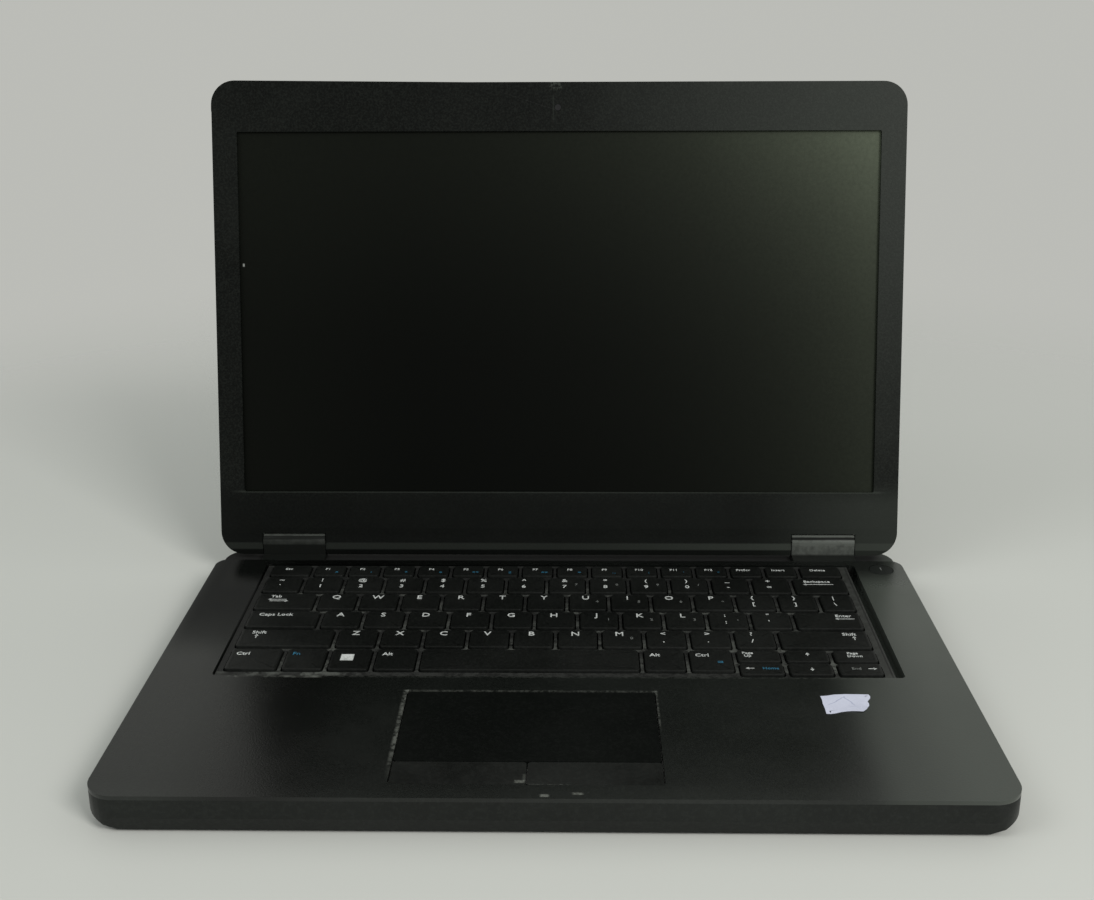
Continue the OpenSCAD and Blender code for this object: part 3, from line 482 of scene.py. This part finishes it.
last_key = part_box("enter_key")[1].x
lattice = block("key_lattice",
                (plate_low.x + 0.4 * MM, plate_low.y + 0.4 * MM, LATTICE_TOP - LATTICE_TALL),
                (last_key + 4.6 * MM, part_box("function_keys")[1].y + 1.9 * MM, LATTICE_TOP))
holes = []
for name in ROWS:
    for middle_x, middle_y, wide, deep in key_places(name):
        hole = block("hole", (middle_x - wide / 2 - RIB_SPACE, middle_y - deep / 2 - RIB_SPACE, 0.01),
                     (middle_x + wide / 2 + RIB_SPACE, middle_y + deep / 2 + RIB_SPACE, 0.02))
        bpy.ops.object.mode_set(mode="EDIT")
        pick("EDGE", upright)
        bpy.ops.mesh.bevel(offset=HOLE_ROUND, segments=2, affect="EDGES")
        bpy.ops.object.mode_set(mode="OBJECT")
        holes.append(hole)
cutter = join(holes)
cut = lattice.modifiers.new("cut", "BOOLEAN")
cut.operation = "DIFFERENCE"
cut.object = cutter
cut.solver = "EXACT"
cut.use_self = True
bpy.ops.object.select_all(action="DESELECT")
bpy.context.view_layer.objects.active = lattice
bpy.ops.object.modifier_apply(modifier="cut")
bpy.data.objects.remove(cutter)
dusty_plastic, dusty_shader, dusty_place = new_finish("dusty_lattice")
x, y = along(dusty_place, 0), along(dusty_place, 1)
lint = grain(dusty_place, 260, 3.0, 0.75).fade(0.36, 0.62)
drift = grain(dusty_place, 45, 2.0, 0.6).fade(0.42, 0.60)
key_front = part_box("modifier_keys")[0].y
rows_back = (y - key_front) * (1 / ROW_PITCH)
in_row = rows_back.math("FRACT", rows_back)
swept = in_row.fade(0.95, 0.25) * y.fade(0.052, 0.030) * y.fade(key_front - 0.001, key_front)
swept = swept * between(x, -0.128, last_key - 0.003, 0.003)
strip = x.fade(last_key, last_key + 0.0006) * (1 - near(x, last_key + 0.0036, 0.0005))
front_lip = y.fade(key_front, key_front - 0.0008) * (drift * x.fade(-0.05, -0.11) * 0.8 + 0.12)
heaped = drift * 0.6 + x.fade(0.03, 0.09) * 0.25 + y.fade(-0.02, -0.04) * 0.2 + 0.06
dust_and_lit_strip = lint * swept * heaped + y.fade(0.0594, 0.0600) * 0.06
# Painted light: besides its dust, the strip beside the last keys is painted paler as lit.
dust_and_lit_strip = dust_and_lit_strip + strip * (lint * 0.1 + x.fade(0.09, 0.12) * 0.16) + front_lip * lint
dust_and_lit_strip.tint((0.0035, 0.004, 0.0035, 1), (0.085, 0.090, 0.080, 1)).feed(dusty_shader, "Base Color")
(lint * 0.2 + 0.55).feed(dusty_shader, "Roughness")
dusty_place.node("ShaderNodeBump", {}, {"Strength": 0.5, "Distance": 0.0001,
                                        "Height": lint}).feed(dusty_shader, "Normal")
lattice.data.materials.append(dusty_plastic)
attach(lattice, "base")

# ---------------------------------------------------------------- keys
# Each key is a shallow moulded cap with rounded corners and a slightly hollowed top, held on a
# short stem, and its characters are printed on the top in white, blue or grey.
KEY_TALL = 1.9 * MM
KEY_ROUND = 1.4 * MM
KEY_RIM = 0.35 * MM
HOLLOW = 0.12 * MM
HOLLOW_EDGE = 1.3 * MM
STEM_HALF = 2.0 * MM
INK_SUNK = 0.03 * MM
INK_HALF = 0.05 * MM
INK_LINE = 0.16 * MM
CAPITAL_SHARE = 0.7
key_plastic = moulded("key_plastic", (0.0035, 0.004, 0.0036, 1), (0.015, 0.0162, 0.0148, 1),
                      0.38, 0.52, 0.35, 0.2)


def print_ink(name, first, second):
    """Printed ink, thinner where fingers have rubbed it."""
    ink, shader, place = new_finish(name)
    rubbed = grain(place, 600, 2.0, 0.6).fade(0.35, 0.7)
    rubbed.tint(first, second).feed(shader, "Base Color")
    (rubbed * 0.2 + 0.4).feed(shader, "Roughness")
    return ink


white_ink = print_ink("white_ink", (0.62, 0.63, 0.62, 1), (0.38, 0.39, 0.38, 1))
blue_ink = print_ink("blue_ink", (0.03, 0.16, 0.26, 1), (0.018, 0.09, 0.15, 1))
grey_ink = print_ink("grey_ink", (0.16, 0.165, 0.16, 1), (0.09, 0.095, 0.09, 1))
key_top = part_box("space_key")[1].z
stem_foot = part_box("space_key")[0].z
ink_middle = key_top - INK_SUNK
cap_shapes = {}


def key_cap(wide, deep):
    """The mesh of one cap with its middle at the origin and its top at 0."""
    size = (round(wide, 5), round(deep, 5))
    if size in cap_shapes:
        return cap_shapes[size]
    cap = block("cap", (-wide / 2, -deep / 2, -KEY_TALL), (wide / 2, deep / 2, 0))
    bpy.ops.object.mode_set(mode="EDIT")
    pick("EDGE", upright)
    bpy.ops.mesh.bevel(offset=KEY_ROUND, segments=4, affect="EDGES")
    pick("EDGE", lambda edge: min(v.co.z for v in edge.verts) > -0.00001)
    bpy.ops.mesh.bevel(offset=KEY_RIM, segments=2, affect="EDGES")
    pick("FACE", lambda face: face.normal.z > 0.99 and face.calc_area() > 0.3 * wide * deep)
    bpy.ops.mesh.inset(thickness=HOLLOW_EDGE, depth=0)
    bpy.ops.transform.translate(value=(0, 0, -HOLLOW))
    pick("FACE", lambda face: face.normal.z < -0.99)
    bpy.ops.mesh.inset(thickness=min(wide, deep) / 2 - STEM_HALF, depth=0)
    bpy.ops.mesh.extrude_region_move(
        TRANSFORM_OT_translate={"value": (0, 0, stem_foot - key_top + KEY_TALL + 0.2 * MM)})
    bpy.ops.object.mode_set(mode="OBJECT")
    bpy.ops.object.shade_smooth_by_angle(angle=math.radians(40))
    bpy.ops.object.mode_set(mode="EDIT")
    pick("FACE", lambda face: abs(face.normal.z) > 0.9995 and len(face.verts) > 4)
    bpy.ops.mesh.faces_shade_flat()
    bpy.ops.mesh.poke()
    bpy.ops.object.mode_set(mode="OBJECT")
    cap.data.materials.append(key_plastic)
    cap_shapes[size] = cap.data
    bpy.data.objects.remove(cap)
    return cap_shapes[size]


def printed(words, x, y, tall, align, ink):
    """Printed characters on the caps: words, their place, height and ink."""
    bpy.ops.object.text_add(location=(x, y, ink_middle))
    text = bpy.context.object
    text.data.body = words
    text.data.size = tall * MM / CAPITAL_SHARE
    text.data.offset = 0.012 * tall * MM
    text.data.align_x = align
    text.data.align_y = "CENTER"
    text.data.resolution_u = 2
    text.data.extrude = INK_HALF
    text.data.materials.append(ink)
    return text


TURNS = {"left": 90, "right": -90, "up": 0, "down": 180}


def arrow(x, y, long, direction, ink):
    """A printed arrow: a thin shaft and a three-sided head."""
    shaft = block("shaft", (x - long / 2, y - INK_LINE, ink_middle - INK_HALF),
                  (x + long / 2, y + INK_LINE, ink_middle + INK_HALF))
    bpy.ops.mesh.primitive_cone_add(vertices=3, radius1=0.95 * MM, radius2=0.95 * MM,
                                    depth=2 * INK_HALF, location=(x, y, ink_middle))
    head = bpy.context.object
    head.matrix_world = (Matrix.Translation((x, y, ink_middle))
                         @ Matrix.Rotation(math.radians(TURNS[direction]), 4, "Z")
                         @ Matrix.Translation((0, long / 2, 0)))
    if direction in ("up", "down"):
        shaft.data.transform(Matrix.Translation((x, y, 0)) @ Matrix.Rotation(math.pi / 2, 4, "Z")
                             @ Matrix.Translation((-x, -y, 0)))
    for piece in (shaft, head):
        piece.data.materials.append(ink)
    return [shaft, head]


LETTERS = {"upper_letter_keys": "QWERTYUIOP", "home_letter_keys": "ASDFGHJKL",
           "lower_letter_keys": "ZXCVBNM"}
PAIRS = {"number_keys": ["~`", "!1", "@2", "#3", "$4", "%5", "^6", "&7", "*8", "(9", ")0",
                         "_-", "+="],
         "upper_letter_keys": ["{[", "}]", "|\\"], "home_letter_keys": [":;", "\"'"],
         "lower_letter_keys": ["<,", ">.", "?/"]}
SMALL = {"upper_letter_keys": "      456*", "home_letter_keys": "      123-",
         "lower_letter_keys": "      0   ", "number_keys": "       789/"}
FUNCTIONS = ["Esc"] + ["F%d" % number for number in range(1, 13)] + ["PrtScr", "Insert", "Delete"]
BLUE = ["", "x", "-", "+", "o", "<<", "||", ">>", "=", "...", ":", "'", "\"", "", "", ""]
WORDS = {
    "tab_key": [("Tab", -7.5, 5.0, 2.3)],
    "caps_lock_key": [("Caps Lock", -11.5, 4.4, 2.5)],
    "left_shift_key": [("Shift", -15.5, 4.9, 2.5)],
    "backspace_key": [("Backspace", -7.2, 4.6, 2.1)],
    "enter_key": [("Enter", 3.6, 4.6, 2.3)],
    "right_shift_key": [("Shift", 8.2, 4.9, 2.4)],
    "page_up_key": [("Page", -6.8, 2.6, 1.8), ("Up", -6.2, 0.1, 1.8)],
    "page_down_key": [("Page", -3.2, 2.6, 1.8), ("Down", -3.4, 0.1, 1.8)],
}
ARROWS = {
    "tab_key": [(-3.6, 1.9, 7.5, "left"), (-3.6, 0.3, 7.5, "right")],
    "left_shift_key": [(-13.0, 1.0, 2.4, "up")],
    "backspace_key": [(-0.2, 1.6, 13.0, "left")],
    "enter_key": [(8.0, 1.8, 7.5, "left")],
    "right_shift_key": [(13.0, 1.0, 2.4, "up")],
    "up_key": [(0.4, 1.2, 1.6, "up")],
    "down_key": [(0.4, 0.2, 1.6, "down")],
    "left_key": [(-4.4, 0.4, 2.6, "left")],
    "right_key": [(4.6, 0.4, 2.6, "right")],
}
MODIFIERS = ["Ctrl", "Fn", "", "Alt", "Alt", "Ctrl"]


def row_prints(name, places):
    """All that is printed on one row of keys."""
    made = []
    for index, (x, y, wide, deep) in enumerate(places):
        if name == "function_keys":
            made.append(printed(FUNCTIONS[index], x - 1.2 * MM, y + 1.5 * MM, 1.9, "CENTER", white_ink))
            if BLUE[index]:
                made.append(printed(BLUE[index], x + 3.4 * MM, y - 1.6 * MM, 1.9, "CENTER", blue_ink))
        if name == "modifier_keys":
            ink = blue_ink if MODIFIERS[index] == "Fn" else white_ink
            if MODIFIERS[index]:
                made.append(printed(MODIFIERS[index], x - wide / 2 + 2.2 * MM, y + 4.6 * MM, 2.5,
                                    "LEFT", ink))
            else:
                mark = block("mark", (x - 4.2 * MM, y - 1.2 * MM, ink_middle - INK_HALF),
                             (x + 1.2 * MM, y + 4.2 * MM, ink_middle + INK_HALF))
                mark.data.materials.append(white_ink)
                made.append(mark)
        letters = LETTERS.get(name, "")
        if index < len(letters):
            made.append(printed(letters[index], x - 1.0 * MM, y + 4.4 * MM, 3.6, "CENTER", white_ink))
        elif name in PAIRS:
            pair = PAIRS[name][index - len(letters)]
            made.append(printed(pair[0], x - 1.2 * MM, y + 4.9 * MM, 3.0, "CENTER", white_ink))
            made.append(printed(pair[1], x - 1.2 * MM, y - 1.6 * MM, 3.0, "CENTER", white_ink))
        small = SMALL.get(name, "")
        if index < len(small) and small[index] != " ":
            made.append(printed(small[index], x + 4.2 * MM, y + 0.6 * MM, 2.0, "CENTER", grey_ink))
        for words, right, back, tall in WORDS.get(name, []):
            made.append(printed(words, x + right * MM, y + back * MM, tall, "LEFT", white_ink))
        for right, back, long, direction in ARROWS.get(name, []):
            made += arrow(x + right * MM, y + back * MM, long * MM, direction, white_ink)
        if name == "left_key":
            made.append(printed("Home", x + 0.2 * MM, y + 0.4 * MM, 1.9, "LEFT", blue_ink))
        if name == "right_key":
            made.append(printed("End", x - 3.6 * MM, y + 0.4 * MM, 1.9, "LEFT", grey_ink))
        if name == "modifier_keys" and index == 5:
            made.append(printed("=", x + 3.6 * MM, y - 1.6 * MM, 3.2, "CENTER", blue_ink))
    return made


for name in ROWS:
    places = key_places(name)
    caps = []
    for x, y, wide, deep in places:
        cap = bpy.data.objects.new(name + "_caps", key_cap(wide, deep).copy())
        cap.location = (x, y, key_top)
        scene.collection.objects.link(cap)
        caps.append(cap)
    prints = row_prints(name, places)
    texts = [piece for piece in prints if piece.type == "FONT"]
    if texts:
        bpy.ops.object.select_all(action="DESELECT")
        for piece in texts:
            piece.select_set(True)
        bpy.context.view_layer.objects.active = texts[0]
        bpy.ops.object.convert(target="MESH")
    row = join(caps + prints)
    row.name = name + "_caps"
    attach(row, name)
    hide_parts(name)

# ---------------------------------------------------------------- touchpad
# A smooth, almost black plate of plastic on a steel bracket, polished a little by use.
pad_plastic = moulded("pad_plastic", (0.0022, 0.0028, 0.0024, 1), (0.0076, 0.0086, 0.0078, 1),
                      0.44, 0.54, 0.15, 0.08)
dress("touchpad", pad_plastic)
soften("touchpad", 0.0003)

# ---------------------------------------------------------------- touchpad buttons
# Two slim keys of the same plastic below the touchpad, rubbed paler than it. The left one has
# a pale scuff in the shape of an L beside the split, and a faint scratch runs on to its right.
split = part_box("touchpad_button_left")[1].x
button_plastic, button_shader, button_place = new_finish("button_plastic")
x, y = along(button_place, 0), along(button_place, 1)
rubbed = grain(button_place, 26, 3.0, 0.6).fade(0.35, 0.7)
fine = grain(button_place, 700, 2.0, 0.7).fade(0.4, 0.7)
upright_scuff = near(x, split - 0.0006, 0.0008) * between(y, -0.1270, -0.1236, 0.001)
level_scuff = near(y, -0.1278, 0.0013) * between(x, split - 0.0036, split - 0.0008, 0.0008)
scratch = near(y, -0.1298, 0.0007) * between(x, split + 0.003, split + 0.014, 0.003) * fine
scuffs = upright_scuff * 0.2 + level_scuff * (fine * 0.4 + 0.35) + scratch * 0.25
skin = (rubbed * 0.4 + fine * 0.3).tint((0.0045, 0.005, 0.0045, 1), (0.017, 0.0185, 0.017, 1))
scuffs.tint(skin, DUST).feed(button_shader, "Base Color")
(rubbed * 0.12 + 0.30 + scuffs * 0.2).feed(button_shader, "Roughness")
button_shader.inputs["Specular IOR Level"].default_value = 0.25
for name in ("touchpad_button_left", "touchpad_button_right"):
    dress(name, button_plastic)
    soften(name, 0.0004)

# ---------------------------------------------------------------- power button
# A round dark push-button in the back right corner, with a short pale line printed on it.
power_low, power_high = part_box("power_button")
dress("power_button", moulded("button_top", (0.009, 0.0105, 0.0095, 1), (0.018, 0.020, 0.018, 1),
                              0.44, 0.54, 0.15, 0.15))
soften("power_button", 0.0003)
line = block("power_line", ((power_low.x + power_high.x) / 2 - 0.25 * MM,
                            (power_low.y + power_high.y) / 2 - 0.6 * MM, power_high.z - 0.05 * MM),
             ((power_low.x + power_high.x) / 2 + 0.25 * MM,
              (power_low.y + power_high.y) / 2 + 2.6 * MM, power_high.z + 0.02 * MM))
bpy.ops.object.mode_set(mode="EDIT")
pick("EDGE", upright)
bpy.ops.mesh.bevel(offset=0.2 * MM, segments=2, affect="EDGES")
bpy.ops.object.mode_set(mode="OBJECT")
line.data.materials.append(grey_ink)
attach(line, "power_button")

# ---------------------------------------------------------------- paper label
# A scrap of white paper stuck to the right of the palm rest. It was torn by hand, so its right
# end is ragged and its lower edge waves. A pen has left a few faint strokes on it.
label_low, label_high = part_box("paper_label")
PAPER_THICK = 0.11 * MM
OUTLINE = [(-0.99, 0.74), (-0.75, 0.78), (-0.43, 0.90), (0.0, 0.95), (0.45, 0.94), (0.88, 0.92),
           (0.91, 0.74), (0.89, 0.56), (0.80, 0.38), (0.73, 0.20), (0.76, 0.04), (0.74, -0.17),
           (0.66, -0.34), (0.60, -0.52), (0.50, -0.70), (0.42, -0.82), (0.22, -0.77), (0.02, -0.74),
           (-0.20, -0.76), (-0.43, -0.82), (-0.62, -0.93), (-0.82, -0.99), (-0.98, -0.98),
           (-0.97, -0.5), (-0.99, 0.0), (-0.97, 0.4)]
bpy.ops.object.select_all(action="DESELECT")
bpy.ops.mesh.primitive_circle_add(vertices=len(OUTLINE), radius=1, fill_type="NGON",
                                  location=(0, 0, 0))
label = bpy.context.object
label.name = "torn_label"
half = (label_high - label_low) / 2
middle = (label_high + label_low) / 2
corners = label.data.vertices
start = max(range(len(OUTLINE)), key=lambda i: corners[i].co.y - corners[i].co.x)
turned = corners[(start + 1) % len(OUTLINE)].co.x > corners[start].co.x
for index, (right, back) in enumerate(OUTLINE):
    step = index if turned else -index
    corner = corners[(start + step) % len(OUTLINE)]
    corner.co = (middle.x + right * half.x, middle.y + back * half.y, palm_high.z + 0.03 * MM)
bpy.ops.object.mode_set(mode="EDIT")
bpy.ops.mesh.select_all(action="SELECT")
bpy.ops.mesh.inset(thickness=0.5 * MM, depth=0)
bpy.ops.mesh.inset(thickness=1.6 * MM, depth=0)
bpy.ops.mesh.select_all(action="SELECT")
bpy.ops.mesh.normals_make_consistent(inside=False)
bpy.ops.object.mode_set(mode="OBJECT")
for corner in label.data.vertices:
    right, back = (corner.co.x - middle.x) / half.x, (corner.co.y - middle.y) / half.y
    corner.co.z += max(0, -0.35 - back) * max(0, right + 0.45) * 1.0 * MM
thick = label.modifiers.new("thick", "SOLIDIFY")
thick.thickness = PAPER_THICK
thick.offset = 1
bpy.ops.object.modifier_apply(modifier="thick")
paper, paper_shader, paper_place = new_finish("paper")
fibre = grain(paper_place, 1300, 3.0, 0.6)
cloud = grain(paper_place, 170, 2.0, 0.5)
x, y = along(paper_place, 0), along(paper_place, 1)
wobble = grain(paper_place, 260, 1.0) * (2.4 * MM)
stroke_a = near(x + y * 0.35 + wobble, middle.x + middle.y * 0.35 + 2.4 * MM, 0.4 * MM) * between(
    y, middle.y - 1.0 * MM, middle.y + 5.2 * MM, 0.001)
stroke_b = near(y + wobble, middle.y - 1.6 * MM, 0.36 * MM) * between(
    x, middle.x + 0.5 * MM, middle.x + 7.0 * MM, 0.001)
stroke_c = near(x * 0.8 - y + wobble, middle.x * 0.8 - middle.y - 4.6 * MM, 0.4 * MM) * between(
    x, middle.x - 7.6 * MM, middle.x - 2.0 * MM, 0.001)
pen = (stroke_a + stroke_b * 0.4 + stroke_c) * 0.45
sheet_colour = (fibre * 0.5 + cloud * 0.5).tint((0.46, 0.47, 0.58, 1), (0.66, 0.67, 0.80, 1))
pen.math("MINIMUM", pen, 0.75).tint(sheet_colour, (0.17, 0.19, 0.34, 1)).feed(
    paper_shader, "Base Color")
paper_shader.inputs["Roughness"].default_value = 0.8
paper_place.node("ShaderNodeBump", {}, {"Strength": 0.4, "Distance": 0.0001,
                                        "Height": fibre}).feed(paper_shader, "Normal")
label.data.materials.append(paper)
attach(label, "base")
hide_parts("paper_label")

# ---------------------------------------------------------------- hinges
# Two steel barrels under moulded covers carry the lid. Each cover has a painted highlight along
# its top and a paler painted band on its rounded edge with a painted dark gap between them, and
# the right cover's face is painted paler; all of it is stronger on the right than on the left.
cap_low, cap_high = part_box("hinge_cap_right")
hinge_plastic, hinge_shader, hinge_place = new_finish("hinge_cap_plastic")
x, z = along(hinge_place, 0), along(hinge_place, 2)
hinge_marks = grain(hinge_place, 300, 3.0, 0.6).fade(0.3, 0.7)
# Painted light: the right cover's face is painted paler, a painted highlight runs along the top, a
# paler painted band lies on the rounded edge with a painted dark gap above it, all mottled by the
# cover's marks.
face = z.fade(cap_low.z + 0.0022, cap_low.z + 0.004) * x.fade(-0.05, 0.12) * 0.8
painted_top_highlight = near(z, cap_high.z - 0.0032, 0.0018) * 0.35 + z.fade(cap_high.z - 0.0007, cap_high.z - 0.0003)
painted_gap_shade = near(z, cap_high.z - 0.0012, 0.0008)
rub = (face + painted_top_highlight * (x.fade(-0.05, 0.12) * 0.4 + 0.6)) * (hinge_marks * 0.5 + 0.7)
rub = rub * (1 - painted_gap_shade)
rub.tint((0.0085, 0.0093, 0.0084, 1), (0.096, 0.102, 0.093, 1)).feed(hinge_shader, "Base Color")
hinge_shader.inputs["Specular IOR Level"].default_value = 0.07
(hinge_marks * 0.12 + 0.34).feed(hinge_shader, "Roughness")
for name in ("hinge_cap_left", "hinge_cap_right"):
    dress(name, hinge_plastic)
    soften(name, 0.0005)

# ---------------------------------------------------------------- lid cover
# The lid's back: one matt black moulding with rounded corners, bare of any mark.
lid_plastic = moulded("lid_plastic", (0.008, 0.009, 0.008, 1), (0.026, 0.028, 0.026, 1),
                      0.36, 0.52, 0.7)
dress("lid_cover", lid_plastic)
soften("lid_cover", 0.0012, 3)

# ---------------------------------------------------------------- screen
# A dark matt panel that no longer lights. A painted reflection pales its upper right part, and a
# speck of lint sticks to it on the left.
screen_low, screen_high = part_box("screen_panel")
screen, screen_shader, screen_place = new_finish("screen")
x, z = along(screen_place, 0), along(screen_place, 2)
reflection_wobble = grain(screen_place, 7, 3.0, 0.6)
mesh_grain = grain(screen_place, 620, 2.0, 0.7)
# Painted reflection: the upper right corner and the right edge are painted paler, the top and the left
# a little, with a wavering edge.
from_right = (x - screen_high.x) * 17.5
from_corner = from_right + (z - screen_high.z) * 19 + (reflection_wobble - 0.5) * 0.5
painted_reflection = from_corner.math("EXPONENT", from_corner) * 0.86
painted_reflection = painted_reflection + (from_right * 1.35).math("EXPONENT", from_right * 1.35) * 0.15
painted_reflection = painted_reflection + z.fade(0.10, 0.22) * 0.026 + x.fade(-0.06, -0.155) * 0.014
lint = near(x, -0.1538, 0.0006) * near(z, 0.1515, 0.0010) * 0.8
reflection_sheen = painted_reflection * (mesh_grain * 0.5 + 0.75)
reflection_colour = reflection_sheen.tint((0.0016, 0.0019, 0.0015, 1), (0.093, 0.107, 0.076, 1))
lint.tint(reflection_colour, (0.34, 0.35, 0.33, 1)).feed(screen_shader, "Base Color")
(mesh_grain * 0.06 + 0.36 + painted_reflection * 0.1).feed(screen_shader, "Roughness")
screen_shader.inputs["Specular IOR Level"].default_value = 0.05
dress("screen_panel", screen)

# ---------------------------------------------------------------- bezel
# The thin moulded frame round the screen. Its upper left edge has sprung loose from the cover,
# and a pale smudge and a faint seam mark its upper part near the middle. Its right side and a
# band near its lower edge carry a painted reflection, and its chin is darker.
bezel_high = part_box("display_bezel")[1]
bezel_plastic, bezel_shader, bezel_place = new_finish("bezel_plastic")
x, z = along(bezel_place, 0), along(bezel_place, 2)
pebbles = grain(bezel_place, 1500, 1.0)
speckle = grain(bezel_place, 1050, 2.0, 0.7).fade(0.38, 0.7)
marks = grain(bezel_place, 16, 4.0, 0.6).fade(0.35, 0.75)
chin = z.fade(screen_low.z + 0.012, screen_low.z - 0.002)
bezel_wear_and_reflection = (speckle * 0.2 + marks * 0.1) * (1 - chin * 0.7)
# Painted reflection: the right side and upper part, the right end of the chin and a band near the lower
# edge are painted paler, more to the right.
bezel_wear_and_reflection = bezel_wear_and_reflection + x.fade(-0.02, 0.16) * (z.fade(0.03, 0.20) * 0.5 + 0.1)
bezel_wear_and_reflection = bezel_wear_and_reflection + x.fade(0.09, 0.160) * chin * 0.5
bezel_wear_and_reflection = bezel_wear_and_reflection + between(z, 0.0158, 0.0180, 0.0010) * 0.7 * (x.fade(0.0, 0.13) * 0.6 + 0.5)
lip_z = screen_low.z + 0.0056
lip = near(z, lip_z, 0.0007) * between(x, screen_low.x + 0.006, screen_high.x - 0.006, 0.01)
smudge = near(x, -0.0010, 0.004) * z.fade(bezel_high.z - 0.0055, bezel_high.z - 0.003) * speckle
seam = near(x, -0.0022, 0.0005) * between(z, bezel_high.z - 0.018, bezel_high.z - 0.008, 0.002)
bezel_wear_and_reflection = bezel_wear_and_reflection + lip * 0.5 + smudge * 1.6 + seam * 0.25
bezel_wear_and_reflection.tint((0.0016, 0.0021, 0.0017, 1), (0.030, 0.034, 0.029, 1)).feed(
    bezel_shader, "Base Color")
rolled_edge = z.fade(0.0230, 0.0200) * 0.2 + z.fade(0.0160, 0.0146) * 0.3
(marks * 0.1 + pebbles * 0.08 + 0.36 + rolled_edge).feed(bezel_shader, "Roughness")
bezel_place.node("ShaderNodeBump", {}, {"Strength": 0.4, "Distance": 0.00006,
                                        "Height": pebbles}).feed(bezel_shader, "Normal")
bezel_shader.inputs["Specular IOR Level"].default_value = 0.1
dress("display_bezel", bezel_plastic)
soften("display_bezel", 0.0005)

# ---------------------------------------------------------------- camera window
# A small disc of dark glass closes the hole above the screen.
LEAN = math.radians(13.36)
LENS_UP = 211.3 * MM
LENS_OUT = 2.35 * MM
LENS_RADIUS = 1.5 * MM
LENS_THICK = 0.5 * MM
hinge_at = Vector(next(joint for joint in frame["record"]["behaviour"]["joints"]
                       if joint["name"] == "lid_hinge")["pos_m"])
lid_up = Vector((0, math.sin(LEAN), math.cos(LEAN)))
lid_out = Vector((0, -math.cos(LEAN), math.sin(LEAN)))
bpy.ops.object.select_all(action="DESELECT")
bpy.ops.mesh.primitive_cylinder_add(vertices=32, radius=LENS_RADIUS, depth=LENS_THICK)
lens = bpy.context.object
lens.name = "camera_window"
bpy.ops.object.mode_set(mode="EDIT")
pick("FACE", lambda face: face.normal.z > 0.9)
bpy.ops.mesh.inset(thickness=0.25 * MM, depth=0)
bpy.ops.mesh.inset(thickness=0.5 * MM, depth=-0.08 * MM)
bpy.ops.object.mode_set(mode="OBJECT")
bpy.ops.object.shade_smooth_by_angle(angle=math.radians(30))
lens.matrix_world = (Matrix.Translation(hinge_at + lid_up * LENS_UP + lid_out * LENS_OUT)
                     @ Matrix.Rotation(math.pi / 2 - LEAN, 4, "X"))
bpy.ops.object.transform_apply(location=True, rotation=True, scale=True)
dark_glass, glass_shader, glass_place = new_finish("dark_glass")
coating = grain(glass_place, 900, 2.0)
coating.tint((0.0015, 0.0015, 0.002, 1), (0.006, 0.006, 0.008, 1)).feed(glass_shader, "Base Color")
(coating * 0.1 + 0.1).feed(glass_shader, "Roughness")
lens.data.materials.append(dark_glass)
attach(lens, "lid")
